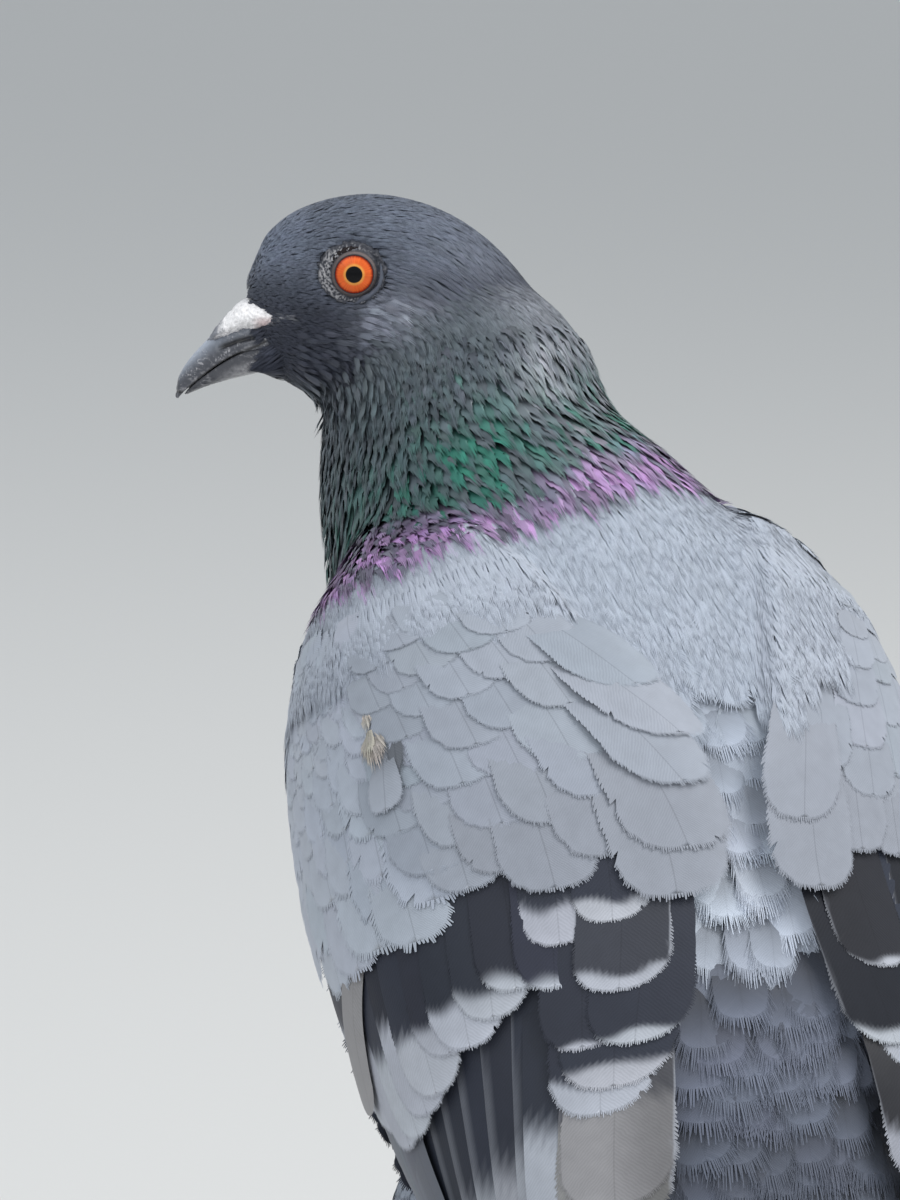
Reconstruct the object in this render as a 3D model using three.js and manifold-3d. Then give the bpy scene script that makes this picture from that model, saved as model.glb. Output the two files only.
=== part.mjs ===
// A life-size standing rock pigeon (blue-bar), divided where its parts are named.
// Millimetres, +Z up. The bird heads along -Y, its left side is +X, and it stands on z = 0.
import * as THREE from "three";
import { mergeVertices } from "three/addons/utils/BufferGeometryUtils.js";
import Module from "manifold-3d";

const wasm = await Module();
wasm.setup();

// ---------------------------------------------------------------- driving dimensions
const GAP = 0.3; // clearance between neighbouring pieces
const BOX_MIDDLE_Y = 17.7; // moved to y = 0, so that the origin is under the middle of the whole
const AROUND_BODY = 24; // points round a trunk or neck section

// Body axis: it starts between the shoulders and runs back to the tail tip.
const AXIS_START = [-42, 200]; // y, z
const AXIS_PITCH = [ // distance along the axis, degrees below the horizontal
  [0, 42], [30, 52], [65, 60], [110, 56], [150, 47], [190, 41], [262, 39],
];

// Trunk sections across the axis: s, half width, reach to the back, reach to the breast.
const TRUNK = [
  [172, 8, 5, 7], [158, 16, 9, 13], [138, 25, 15, 23], [108, 34, 23, 38],
  [75, 40, 29, 52], [40, 41, 30, 61], [10, 35, 27, 58],
];
// Neck sections: x, y, z of the centre, half width, reach to the nape, reach to the throat.
const NECK = [
  [6.5, -59, 213, 24, 24, 32], [8.5, -68, 226, 19, 24.5, 23], [11, -74.5, 237, 15, 18.5, 16],
  [15, -77.5, 246, 10, 7, 9],
];

// Head frame: the origin is midway between the eyes, FORWARD points along the bill.
const HEAD_YAW = 65; // degrees the head is turned to the bird's left
const HEAD_PITCH = 2.5; // degrees the bill points below the level
const HEAD_AT = [22, -79.5, 247];
// Head sections along FORWARD: distance, top, bottom, half width.
const HEAD = [
  [17.6, -3.4, -6.6, 2.4], [16.4, 0.4, -11.5, 4], [14, 5.2, -16.6, 5.3], [11.6, 7.6, -17.8, 7.1],
  [8, 9.8, -20.2, 9.2], [0, 11.8, -24, 11.2], [-8, 11.4, -27, 12.4], [-16, 8.6, -28, 12.8],
  [-23, 3.6, -27, 11.4], [-29, -3.5, -23, 8], [-31.5, -9, -17, 4],
];
const EYE = { back: 0.7, out: 6.9, r: 5 };
// Bill sections along FORWARD: distance, top, bottom, half width.
const BILL_UPPER = [
  [10, -7, -10.4, 5.2], [14, -6, -12.3, 4.9], [18.5, -7.4, -13.6, 4.1], [22.3, -10.6, -15.9, 3.1],
  [26, -14.4, -18.9, 2.1], [28, -17.4, -20.7, 1.3], [28.7, -19.6, -21.9, 0.6],
];
const BILL_LOWER = [
  [10.5, -9.6, -14.6, 5], [13, -11.4, -16.2, 4.7], [16, -12.6, -17.2, 4.2], [19, -13.9, -17.9, 3.5],
  [22.5, -16.2, -18.9, 2.6], [25.5, -18.5, -20, 1.7], [27.2, -20.2, -20.8, 0.9],
];
// Cere: the two swollen pads over the nostrils, as sections along the slope of the bill.
const CERE = [
  [11.8, -6.9, -8.6, 2.6], [13, -5.9, -10, 5.3], [15.2, -5.1, -10.7, 5.7], [17.6, -5.5, -10.9, 5.2],
  [19.8, -7.4, -11.4, 4.2], [21.8, -9.5, -12, 3], [23.2, -11.2, -12.6, 1.6],
];

// Folded wing sections across the axis: s, then the inner edge, the outermost line and the lower
// edge, each as (distance from the midplane, distance above the axis), and the thickness.
const WING = [
  [-10, 29, 9, 33, 0, 29, -12, 2],
  [-3, 26, 18, 39.5, 2, 35, -20, 5],
  [14, 20, 28, 45.5, 7, 40.5, -29, 8],
  [40, 10, 33.5, 47.5, 10.5, 42.5, -32, 8],
  [60, 8, 33.5, 47, 11, 41.5, -31, 8],
  [85, 15, 31, 44, 10, 38, -27, 7],
  [108, 20, 26.5, 40.5, 8, 34, -21, 6],
  [140, 20.5, 21, 36, 6, 30.5, -13, 5],
  [172, 15, 14, 31, 5, 28, -6, 3.5],
  [205, 12, 8.5, 24, 4.5, 23, -1.5, 2.2],
  [226, 14, 6.5, 19, 4.5, 20, 1.5, 1.2],
  [234, 16.5, 5, 17.5, 4, 18.5, 3, 0.8],
];
const WING_PARTS = [["shield", -20, 92], ["secondaries", 92, 150], ["primaries", 150, 240]];

// Tail: s, half width, half thickness, drop of its side edges.
const TAIL = [
  [146, 13, 3, 1.5], [165, 18, 3, 2.5], [185, 22, 2.4, 3], [215, 25.5, 1.8, 3], [245, 28, 1, 2.6],
  [254, 26.5, 0.8, 2.3], [258.5, 22, 0.6, 1.8],
];

// Legs: points down the left leg, mirrored for the right.
const THIGH = [ // x, y, z, radius across, radius fore and aft
  [20, -18, 120, 9, 12], [22, -17, 100, 14, 18], [22, -12, 84, 13, 17.5], [21.5, -5, 68, 10, 13.5],
  [21, 1, 54, 6.5, 8], [21, 5, 43, 3.6, 4.2],
];
const ANKLE = [21, 6, 37];
const FOOT = [22, -6, 6.5];
const SHANK_R = [3.1, 2.5, 2.1, 2.3, 2.9];
// Toes: name, heading from straight ahead in degrees outwards, length, claw length.
const TOES = [["inner", -28, 20, 7.5], ["middle", 4, 28, 8], ["outer", 38, 21, 7.5], ["hind", 172, 13, 7.5]];
const TOE_R = [2.7, 2.2, 2.2, 2.0, 1.5];

// ---------------------------------------------------------------- materials
const paint = (hex, roughness = 0.8, metalness = 0) =>
  new THREE.MeshStandardMaterial({ color: hex, roughness, metalness });
const SLATE = paint(0x4a4e58);
const NECK_GREEN = paint(0x3c5550, 0.5);
const PALE = paint(0x9aa2ad);
const DARK = paint(0x43454c);
const HORN = paint(0x2f3136, 0.45);
const CHALK = paint(0xcfc8c4, 0.9);
const IRIS = paint(0xd9582a, 0.1);
const CORAL = paint(0xb14a4a, 0.6);

// ---------------------------------------------------------------- shared helpers
const V = (x, y, z) => new THREE.Vector3(x, y, z);
const UP = V(0, 0, 1);

// Columns of a table at x, by a cubic through its rows (Catmull-Rom with uneven spacing).
function at(table, x) {
  const rows = table[0][0] < table.at(-1)[0] ? table : [...table].reverse();
  let i = rows.findIndex((row) => row[0] > x) - 1;
  if (i < 0) i = x <= rows[0][0] ? 0 : rows.length - 2;
  const [a, b] = [rows[i], rows[i + 1]];
  const before = rows[i - 1] ?? a;
  const after = rows[i + 2] ?? b;
  const h = b[0] - a[0];
  const t = THREE.MathUtils.clamp((x - a[0]) / h, 0, 1);
  return a.slice(1).map((va, k) => {
    const [vb, vp, vn] = [b[k + 1], before[k + 1], after[k + 1]];
    const ma = ((vb - vp) / (b[0] - before[0])) * h;
    const mb = ((vn - va) / (after[0] - a[0])) * h;
    const [t2, t3] = [t * t, t * t * t];
    return va * (2 * t3 - 3 * t2 + 1) + ma * (t3 - 2 * t2 + t) + vb * (3 * t2 - 2 * t3) + mb * (t3 - t2);
  });
}

// Point and back direction of the body axis at s, walked in 1 mm steps.
function axis(s) {
  let [y, z] = AXIS_START;
  const steps = Math.max(1, Math.ceil(Math.abs(s)));
  const step = s / steps;
  const slope = (d) => THREE.MathUtils.degToRad(at(AXIS_PITCH, THREE.MathUtils.clamp(d, 0, 262))[0]);
  for (let k = 0; k < steps; k++) {
    const p = slope((k + 0.5) * step);
    y += step * Math.cos(p);
    z -= step * Math.sin(p);
  }
  const p = slope(s);
  return { centre: V(0, y, z), back: V(0, Math.sin(p), Math.cos(p)), along: V(0, Math.cos(p), -Math.sin(p)) };
}

// A closed skin over rings of points, with a fan at each end.
function tube(rings) {
  const n = rings[0].length;
  const middle = (ring) => ring.reduce((sum, p) => sum.add(p), V(0, 0, 0)).divideScalar(n);
  const points = [...rings.flat(), middle(rings[0]), middle(rings.at(-1))];
  const index = [];
  for (let r = 0; r + 1 < rings.length; r++)
    for (let k = 0; k < n; k++) {
      const [a, b] = [r * n + k, r * n + ((k + 1) % n)];
      index.push(a, b, a + n, b, b + n, a + n);
    }
  const last = (rings.length - 1) * n;
  for (let k = 0; k < n; k++) {
    const next = (k + 1) % n;
    index.push(rings.length * n, next, k);
    index.push(rings.length * n + 1, last + k, last + next);
  }
  const geometry = new THREE.BufferGeometry().setFromPoints(points);
  geometry.setIndex(index);
  return solid(geometry);
}

// A geometry as a solid with its faces pointing out.
function solid(geometry) {
  const bare = geometry.clone();
  bare.deleteAttribute("normal");
  bare.deleteAttribute("uv");
  const merged = mergeVertices(bare, 1e-4);
  const index = [];
  const old = merged.index.array;
  for (let i = 0; i < old.length; i += 3) {
    const [a, b, c] = [old[i], old[i + 1], old[i + 2]];
    if (a !== b && b !== c && a !== c) index.push(a, b, c);
  }
  const build = (order) =>
    new wasm.Manifold(
      new wasm.Mesh({
        numProp: 3,
        vertProperties: new Float32Array(merged.attributes.position.array),
        triVerts: new Uint32Array(order),
      }),
    );
  const made = build(index);
  return made.volume() > 0 ? made : build(index.map((_, i) => index[i - (i % 3) + [0, 2, 1][i % 3]]));
}

// Ring of a section: right and top span it, with its own reach to each side, a superellipse of power p.
function section(centre, right, top, half, reachUp, reachDown, count, p = 2) {
  return Array.from({ length: count }, (_, k) => {
    const a = (2 * Math.PI * k) / count;
    const bend = (v) => Math.sign(v) * Math.abs(v) ** (2 / p);
    const [c, s] = [bend(Math.cos(a)), bend(Math.sin(a))];
    return centre.clone().addScaledVector(right, half * c).addScaledVector(top, (s > 0 ? reachUp : reachDown) * s);
  });
}

// A half space as a large box: normal points to what is kept.
function halfSpace(point, normal, shift = 0) {
  const size = 700;
  const box = new THREE.BoxGeometry(size, size, size);
  box.translate(0, 0, size / 2 + shift);
  box.applyQuaternion(new THREE.Quaternion().setFromUnitVectors(UP, normal.clone().normalize()));
  box.translate(point.x, point.y, point.z);
  return solid(box);
}

// The largest single body of a solid, so that a cut leaves no crumbs.
function largest(made) {
  return made.decompose().reduce((best, body) => (body.volume() > best.volume() ? body : best));
}

const root = new THREE.Group();
function add(name, made, material) {
  const mesh = largest(made).translate([0, -BOX_MIDDLE_Y, 0]).getMesh();
  const geometry = new THREE.BufferGeometry();
  geometry.setAttribute("position", new THREE.BufferAttribute(mesh.vertProperties, 3));
  geometry.setIndex(new THREE.BufferAttribute(mesh.triVerts, 1));
  const piece = new THREE.Mesh(geometry, material);
  piece.name = name;
  root.add(piece);
  return piece;
}

// ---------------------------------------------------------------- trunk and neck
const turn = new THREE.Quaternion().setFromAxisAngle(UP, THREE.MathUtils.degToRad(HEAD_YAW));
const LEFT = V(1, 0, 0).applyQuaternion(turn);
const nod = new THREE.Quaternion().setFromAxisAngle(LEFT, THREE.MathUtils.degToRad(HEAD_PITCH));
const FORWARD = V(0, -1, 0).applyQuaternion(turn).applyQuaternion(nod);
const CROWN = UP.clone().applyQuaternion(nod);
const HEAD_ORIGIN = V(...HEAD_AT);

function trunkAndNeck(grow) {
  const stations = TRUNK.map(([s, ...reach]) => ({ centre: axis(s).centre, reach, turned: 0 }));
  NECK.forEach(([x, y, z, ...reach], k) =>
    stations.push({ centre: V(x, y, z), reach, turned: (k + 1) / NECK.length }),
  );
  const path = new THREE.CatmullRomCurve3(stations.map((o) => o.centre), false, "centripetal");
  const table = stations.map((o, k) => [k, ...o.reach, o.turned]);
  const rings = [];
  const perStation = 2;
  const last = stations.length - 1;
  for (let k = 0; k <= last * perStation; k++) {
    const u = k / perStation;
    const [half, back, front, turned] = at(table, u);
    const along = path.getTangent(u / last);
    const right = V(1, 0, 0).lerp(LEFT, turned).normalize();
    right.addScaledVector(along, -right.dot(along)).normalize();
    const top = right.clone().cross(along).negate();
    if (top.y < 0) top.negate();
    rings.push(section(path.getPoint(u / last), right, top, half + grow, back + grow, front + grow, AROUND_BODY, 2.1));
  }
  return tube(rings);
}

function headShape(grow) {
  const rings = [];
  for (let f = HEAD[0][0]; f >= HEAD.at(-1)[0] - 1e-6; f -= (HEAD[0][0] - HEAD.at(-1)[0]) / 13) {
    const [top, bottom, half] = at(HEAD, f);
    const middle = bottom + 0.52 * (top - bottom);
    const centre = HEAD_ORIGIN.clone().addScaledVector(FORWARD, f + (grow * f) / 20).addScaledVector(CROWN, middle);
    rings.push(section(centre, LEFT, CROWN, half + grow, top - middle + grow, middle - bottom + grow, 20, 2.15));
  }
  return tube(rings);
}

// A row of sections along FORWARD, for the bill and the cere.
function billShape(table, grow, count, power) {
  const rings = [];
  const ends = [table[0][0], table.at(-1)[0]];
  const steps = 2 * (table.length - 1);
  for (let k = 0; k <= steps; k++) {
    const f = THREE.MathUtils.lerp(ends[0], ends[1], k / steps);
    const [top, bottom, half] = at(table, f);
    const middle = (top + bottom) / 2;
    const centre = HEAD_ORIGIN.clone().addScaledVector(FORWARD, f).addScaledVector(CROWN, middle);
    const reach = (top - bottom) / 2 + grow;
    rings.push(section(centre, LEFT, CROWN, half + grow, reach, reach, count, power));
  }
  return tube(rings);
}

function eyeball(side, grow) {
  const ball = new THREE.SphereGeometry(EYE.r + grow, 16, 9);
  const centre = HEAD_ORIGIN.clone().addScaledVector(LEFT, side * EYE.out).addScaledVector(FORWARD, -EYE.back);
  ball.translate(centre.x, centre.y, centre.z);
  return solid(ball);
}

const flesh = trunkAndNeck(0).add(headShape(0));
const fleshRoom = trunkAndNeck(GAP).add(headShape(GAP));

// Neck cuts: one under the jaw, one above the shoulders.
const jawCut = { point: HEAD_ORIGIN.clone().add(V(0, 0, -24)), normal: V(0.2, -0.45, 0.87).normalize() };
const neckCut = { point: V(0, -48, 205), normal: V(0, -0.62, 0.78).normalize() };
const above = (cut, shift = 0) => halfSpace(cut.point, cut.normal, shift);
const below = (cut) => halfSpace(cut.point, cut.normal.clone().negate());

// ---------------------------------------------------------------- wings
// Point of the folded wing at s along the body and t from its inner edge (0) to its lower edge (1).
function wingPoint(row, s, t, depth) {
  const [ix, iz, mx, mz, ox, oz] = row;
  const { centre, back } = axis(s);
  const cx = 2 * mx - (ix + ox) / 2;
  const cz = 2 * mz - (iz + oz) / 2;
  const x = (1 - t) ** 2 * ix + 2 * t * (1 - t) * cx + t * t * ox;
  const z = (1 - t) ** 2 * iz + 2 * t * (1 - t) * cz + t * t * oz;
  const dx = 2 * (1 - t) * (cx - ix) + 2 * t * (ox - cx);
  const dz = 2 * (1 - t) * (cz - iz) + 2 * t * (oz - cz);
  const size = Math.hypot(dx, dz);
  return centre.clone().add(V(x + (depth * dz) / size, 0, 0)).addScaledVector(back, z - (depth * dx) / size);
}

function wingShape() {
  const [first, last] = [WING[0][0], WING.at(-1)[0]];
  const steps = 18;
  const across = 8;
  const rings = [];
  for (let k = 0; k <= steps; k++) {
    const s = THREE.MathUtils.lerp(first, last, k / steps);
    const [ix, iz, mx, mz, ox, oz, thick] = at(WING, s);
    const row = [ix, iz, mx, mz, ox, oz];
    const ring = [];
    for (let j = 0; j <= across; j++) ring.push(wingPoint(row, s, j / across, 0));
    for (let j = across; j >= 0; j--) {
      const t = j / across;
      const full = Math.min(1, 0.35 + 3 * Math.min(t, 1 - t));
      ring.push(wingPoint(row, s, t, Math.max(0.7, thick * full)));
    }
    rings.push(ring);
  }
  return tube(rings);
}

// ---------------------------------------------------------------- tail
function tailShape(grow) {
  const [first, last] = [TAIL[0][0], TAIL.at(-1)[0]];
  const steps = 12;
  const rings = [];
  for (let k = 0; k <= steps; k++) {
    const s = THREE.MathUtils.lerp(first, last, k / steps) + (k === steps ? grow : 0);
    const [half, thick, droop] = at(TAIL, s);
    const { centre, back } = axis(s);
    const ring = section(centre, V(1, 0, 0), back, half + grow, thick + grow, thick + grow, 18, 2.6);
    for (const p of ring) p.addScaledVector(back, -droop * (p.x / half) ** 2);
    rings.push(ring);
  }
  return tube(rings);
}

// ---------------------------------------------------------------- legs
// A limb through points with a radius at each; flat gives it round sections.
function limb(points, radii, grow, count, per) {
  const path = new THREE.CatmullRomCurve3(points, false, "centripetal");
  const rings = [];
  const last = points.length - 1;
  const table = radii.map((r, k) => [k, ...(Array.isArray(r) ? r : [r, r])]);
  for (let k = 0; k <= last * per; k++) {
    const u = k / per;
    const [across, fore] = at(table, u);
    const along = path.getTangent(u / last);
    const hint = Math.abs(along.x) > 0.8 ? V(0, 1, 0) : V(1, 0, 0);
    const right = hint.clone().addScaledVector(along, -hint.dot(along)).normalize();
    const top = along.clone().cross(right).normalize();
    rings.push(section(path.getPoint(u / last), right, top, across + grow, fore + grow, fore + grow, count));
  }
  return tube(rings);
}

const mirrored = (side, [x, y, z]) => V(side * x, y, z);

function thighShape(side, grow) {
  const points = THIGH.map((row) => mirrored(side, row));
  return limb(points, THIGH.map(([, , , across, fore]) => [across, fore]), grow, 16, 2);
}

function shankShape(side, grow) {
  const steps = SHANK_R.length - 1;
  const [a, b] = [mirrored(side, ANKLE), mirrored(side, FOOT)];
  const points = SHANK_R.map((_, k) => a.clone().lerp(b, k / steps));
  points.unshift(a.clone().add(V(0, -1.5, 4)));
  return limb(points, [2.8, ...SHANK_R], grow, 12, 1);
}

function toeLine(side, [, heading, length]) {
  const a = THREE.MathUtils.degToRad(heading);
  const way = V(side * Math.sin(a), -Math.cos(a), 0);
  const start = mirrored(side, FOOT);
  const low = TOE_R.map((r, k) => {
    const share = k / (TOE_R.length - 1);
    const p = start.clone().addScaledVector(way, 1.2 + (length - 1.2) * share);
    p.z = THREE.MathUtils.lerp(r * 0.82, FOOT[2] - 2.2, Math.max(0, 1 - 4 * share));
    return p;
  });
  return { way, points: low };
}

function toeShape(side, toe, grow) {
  return limb(toeLine(side, toe).points, TOE_R, grow, 8, 1);
}

function clawShape(side, toe) {
  const { way, points } = toeLine(side, toe);
  const [tip, length] = [points.at(-1), toe[3]];
  const rise = [1.2, 1.9, 1.6, 0.6];
  const line = rise.map((z, k) => {
    const p = tip.clone().addScaledVector(way, -1.2 + ((length + 1.2) * k) / (rise.length - 1));
    p.z = z;
    return p;
  });
  return limb(line, [1.25, 1.15, 0.85, 0.35], 0, 8, 1);
}

// ---------------------------------------------------------------- assembly
const floor = halfSpace(V(0, 0, 0), UP);
const billUpper = billShape(BILL_UPPER, 0, 12, 2);
const billLower = billShape(BILL_LOWER, 0, 12, 2);
const cere = billShape(CERE, 0, 12, 2);
const eyeRoom = eyeball(1, GAP).add(eyeball(-1, GAP));

const headRoom = headShape(GAP);
const upperFlesh = flesh.intersect(above(neckCut, GAP));
add("head", upperFlesh.intersect(above(jawCut, GAP)).subtract(eyeRoom), SLATE);
add("neck", upperFlesh.intersect(below(jawCut)), NECK_GREEN);
add("cere", cere.subtract(headRoom), CHALK);
const cereRoom = billShape(CERE, GAP, 12, 2);
add("bill_upper", billUpper.subtract(headRoom).subtract(cereRoom), HORN);
const upperRoom = billShape(BILL_UPPER, GAP, 12, 2);
add("bill_lower", billLower.subtract(headRoom).subtract(upperRoom), HORN);

const thighRoom = thighShape(1, GAP).add(thighShape(-1, GAP));
const trunk = flesh.intersect(below(neckCut));
const tailRoom = tailShape(GAP);
add("trunk", trunk, PALE);
add("tail", tailShape(0).subtract(fleshRoom), DARK);

const flipped = (made) => made.mirror([1, 0, 0]);
for (const [side, word] of [[1, "left"], [-1, "right"]]) {
  add(`eye_${word}`, eyeball(side, 0), IRIS);
  const whole = side > 0 ? wingShape() : flipped(wingShape());
  const wing = whole.subtract(fleshRoom).subtract(tailRoom).subtract(thighRoom);
  for (const [part, from, to] of WING_PARTS) {
    const [a, b] = [axis(from), axis(to)];
    const slice = wing.intersect(halfSpace(a.centre, a.along, GAP)).intersect(halfSpace(b.centre, b.along.negate()));
    add(`wing_${part}_${word}`, slice, part === "shield" ? PALE : DARK);
  }
  add(`thigh_${word}`, thighShape(side, 0).subtract(fleshRoom), PALE);
  const shankRoom = shankShape(side, GAP);
  const shank = shankShape(side, 0).subtract(thighShape(side, GAP));
  const others = TOES.map((toe) => toeShape(side, toe, GAP));
  add(`shank_${word}`, shank.intersect(floor), CORAL);
  TOES.forEach((toe, k) => {
    let made = toeShape(side, toe, 0).intersect(floor).subtract(shankRoom);
    for (const other of others.slice(0, k)) made = made.subtract(other);
    add(`toe_${toe[0]}_${word}`, made, CORAL);
    add(`claw_${toe[0]}_${word}`, clawShape(side, toe).intersect(floor).subtract(others[k]), HORN);
  });
}

export default root;
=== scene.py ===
"""A life-size blue-bar feral pigeon, standing, with its head turned to its left.

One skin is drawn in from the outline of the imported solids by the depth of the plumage, and every feather
over it is mesh: a vane on a bent shaft, with barbs along its edge. Lengths below are in millimetres in the
frame of the solids (head towards -Y, the bird's left is +X, up is +Z), and become metres where a mesh is
made.
"""
import math

import bpy
import numpy as np
from mathutils import Matrix, Vector, noise
from mathutils.bvhtree import BVHTree
from mathutils.kdtree import KDTree


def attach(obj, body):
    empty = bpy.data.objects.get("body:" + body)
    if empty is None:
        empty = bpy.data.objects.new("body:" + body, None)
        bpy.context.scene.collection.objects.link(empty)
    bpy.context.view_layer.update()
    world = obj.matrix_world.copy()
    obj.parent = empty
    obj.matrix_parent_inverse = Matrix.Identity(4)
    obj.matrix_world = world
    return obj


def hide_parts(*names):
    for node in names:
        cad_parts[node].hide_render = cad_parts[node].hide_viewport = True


MM = 0.001
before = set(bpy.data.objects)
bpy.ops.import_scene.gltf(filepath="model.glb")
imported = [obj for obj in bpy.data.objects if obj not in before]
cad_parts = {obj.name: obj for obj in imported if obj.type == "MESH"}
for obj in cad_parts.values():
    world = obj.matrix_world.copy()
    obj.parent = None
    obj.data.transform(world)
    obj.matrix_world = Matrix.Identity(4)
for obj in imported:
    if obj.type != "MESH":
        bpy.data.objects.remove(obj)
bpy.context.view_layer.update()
rng = np.random.default_rng(7)

# ---------------- colours, linear
SLATE = np.array([0.114, 0.13, 0.17])
CROWN = np.array([0.14, 0.163, 0.215])
CHEEK = np.array([0.037, 0.042, 0.062])
CHEEK_PALE = np.array([0.3, 0.322, 0.385])
HACKLE = np.array([0.101, 0.123, 0.142])
NAPE_SHEEN = np.array([0.24, 0.252, 0.287])
GREEN = np.array([0.03, 0.2, 0.145])
TEAL = np.array([0.074, 0.138, 0.138])
PURPLE = np.array([0.5, 0.29, 0.58])
MANTLE = np.array([0.345, 0.387, 0.457])
COVERT = np.array([0.37, 0.402, 0.465])
RUMP_PALE = np.array([0.455, 0.503, 0.583])
RUMP_GREY = np.array([0.11, 0.125, 0.168])
TAIL_GREY = np.array([0.072, 0.083, 0.112])
BREAST = np.array([0.19, 0.215, 0.265])
BELLY = np.array([0.23, 0.26, 0.31])
BAR = np.array([0.027, 0.031, 0.045])
BAR_BROWN = np.array([0.1, 0.1, 0.115])
BAR_TIP = np.array([0.39, 0.41, 0.46])
FLIGHT = np.array([0.062, 0.07, 0.09])
DOWN_BEIGE = np.array([0.46, 0.42, 0.38])
PALE_BROWN = np.array([0.25, 0.245, 0.25])
SCAPULAR_END = np.array([0.262, 0.28, 0.325])

# ---------------- the lines that the plumage follows
AXIS_START = (-59.7, 200.0)
AXIS_PITCH = [[0, 42], [30, 52], [65, 60], [110, 56], [150, 47], [190, 41], [262, 39]]
AXIS_END = 262.0
NECK_LINE = np.array([[15, -95.2, 246], [11, -92.2, 237], [8.5, -85.7, 226], [6.5, -76.7, 213]], float)
HEAD_AT = np.array([22.0, -97.2, 247.0])
HEAD_YAW = math.radians(65)
HEAD_PITCH = math.radians(2.5)
LEFT = np.array([math.cos(HEAD_YAW), math.sin(HEAD_YAW), 0.0])
FORWARD = np.array([math.sin(HEAD_YAW) * math.cos(HEAD_PITCH), -math.cos(HEAD_YAW) * math.cos(HEAD_PITCH),
                    -math.sin(HEAD_PITCH)])
CROWN_WAY = np.cross(FORWARD, LEFT) * np.sign(np.cross(FORWARD, LEFT)[2])
THIGH_LINE = np.array([[20, -35.7, 120], [22, -29.7, 84], [21, -16.7, 54], [21, -11.7, 37]], float)

# The folded wing: station, then inner edge, middle and lower edge as (out, back), and its thickness.
WING = [
    [-10, 29, 9, 33, 0, 29, -12, 2], [-3, 26, 18, 39.5, 2, 35, -20, 5], [14, 20, 28, 45.5, 7, 40.5, -29, 8],
    [40, 10, 33.5, 47.5, 10.5, 42.5, -32, 8], [60, 8, 33.5, 47, 11, 41.5, -31, 8],
    [85, 15, 31, 44, 10, 38, -27, 7], [108, 20, 26.5, 40.5, 8, 34, -21, 6],
    [140, 20.5, 21, 36, 6, 30.5, -13, 5], [172, 15, 14, 31, 5, 28, -6, 3.5],
    [205, 12, 8.5, 24, 4.5, 23, -1.5, 2.2], [226, 14, 6.5, 19, 4.5, 20, 1.5, 1.2],
    [234, 16.5, 5, 17.5, 4, 18.5, 3, 0.8],
]
# The tail: station, half width, half thickness, how far its edges droop.
TAIL = [
    [146, 13, 3, 1.5], [165, 18, 3, 2.5], [185, 22, 2.4, 3], [215, 25.5, 1.8, 3], [245, 28, 1, 2.6],
    [254, 26.5, 0.8, 2.3], [258.5, 22, 0.6, 1.8],
]
# How far behind and beside the head's middle each eye lies, and the radii of its ball and socket.
EYE_BACK, EYE_OUT, EYE_R = 0.7, 6.9, 5.0
EYE_SOCKET = 6.2
# How fast the wing's face sinks towards the back where it runs on past its inner edge.
OVER_BACK_SINK = 0.045
# The edge between the neck's hackles and the mantle is a slanting plane, and collar() is the way up from it.
COLLAR_WAY = np.array([0.26, -0.45, 0.856])
COLLAR_AT = 205.0
# Spacing of the points of the guide, along which the plumage lies.
GUIDE_STEP = 4.0
# Stations where the pale rump turns grey, and where the first dark bar crosses the wing.
PALE_RUMP_END = 66.0
BAR_START = 66.0
# How many places are tried for each feather's share of the surface.
TRIES = 5.0
# Most feathers of the body are rooted at least this far from the wings' outer faces.
WING_ROOM = 8.0
# The right wing's inner feathers are darkened as painted shade. Scapulars are coloured darker than the
# mantle.
RIGHT_INNER_SHADE = 0.44
SCAPULAR_SHADE = 0.765
SCAPULAR_END_SHADE = 0.89
# The first and last row of small coverts, and the width of the wing that a row of them fills.
SMALL_COVERTS_FROM, SMALL_COVERTS_TO, SMALL_COVERTS_ACROSS = 7.0, 64.0, 92.0
# Hackles and head feathers overlap: heights on the head, stations on the neck, and heights over the collar.
HACKLES_BELOW, HEAD_ABOVE = -19.0, -22.0
HACKLES_PAST, HEAD_BEFORE = -56.0, -48.0
HACKLES_OVER, HEAD_OVER = 5.5, 10.0


def smooth(x):
    x = np.clip(x, 0, 1)
    return x * x * (3 - 2 * x)


def blend(a, b, share):
    share = np.asarray(share)[..., None]
    return a * (1 - share) + b * share


def unit(v):
    return v / np.maximum(np.linalg.norm(v, axis=-1, keepdims=True), 1e-9)


def lookup(table, x):
    """A smooth curve through a table's rows, whose first column is the station."""
    table = np.asarray(table, float)
    at, rows = table[:, 0], table[:, 1:]
    x = np.clip(np.atleast_1d(np.asarray(x, float)), at[0], at[-1])
    i = np.clip(np.searchsorted(at, x, side="right") - 1, 0, len(at) - 2)
    slope = np.empty_like(rows)
    slope[1:-1] = (rows[2:] - rows[:-2]) / (at[2:] - at[:-2])[:, None]
    slope[0] = (rows[1] - rows[0]) / (at[1] - at[0])
    slope[-1] = (rows[-1] - rows[-2]) / (at[-1] - at[-2])
    step = (at[i + 1] - at[i])[:, None]
    t = (x - at[i])[:, None] / step
    return (rows[i] * (2 * t**3 - 3 * t**2 + 1) + slope[i] * step * (t**3 - 2 * t**2 + t)
            + rows[i + 1] * (3 * t**2 - 2 * t**3) + slope[i + 1] * step * (t**3 - t**2))


def make_axis():
    stations = np.arange(0, AXIS_END + 1)
    pitch = np.radians(lookup(AXIS_PITCH, stations[:-1] + 0.5)[:, 0])
    y = AXIS_START[0] + np.concatenate([[0], np.cumsum(np.cos(pitch))])
    z = AXIS_START[1] - np.concatenate([[0], np.cumsum(np.sin(pitch))])
    return stations, y, z


AXIS_S, AXIS_Y, AXIS_Z = make_axis()


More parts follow.
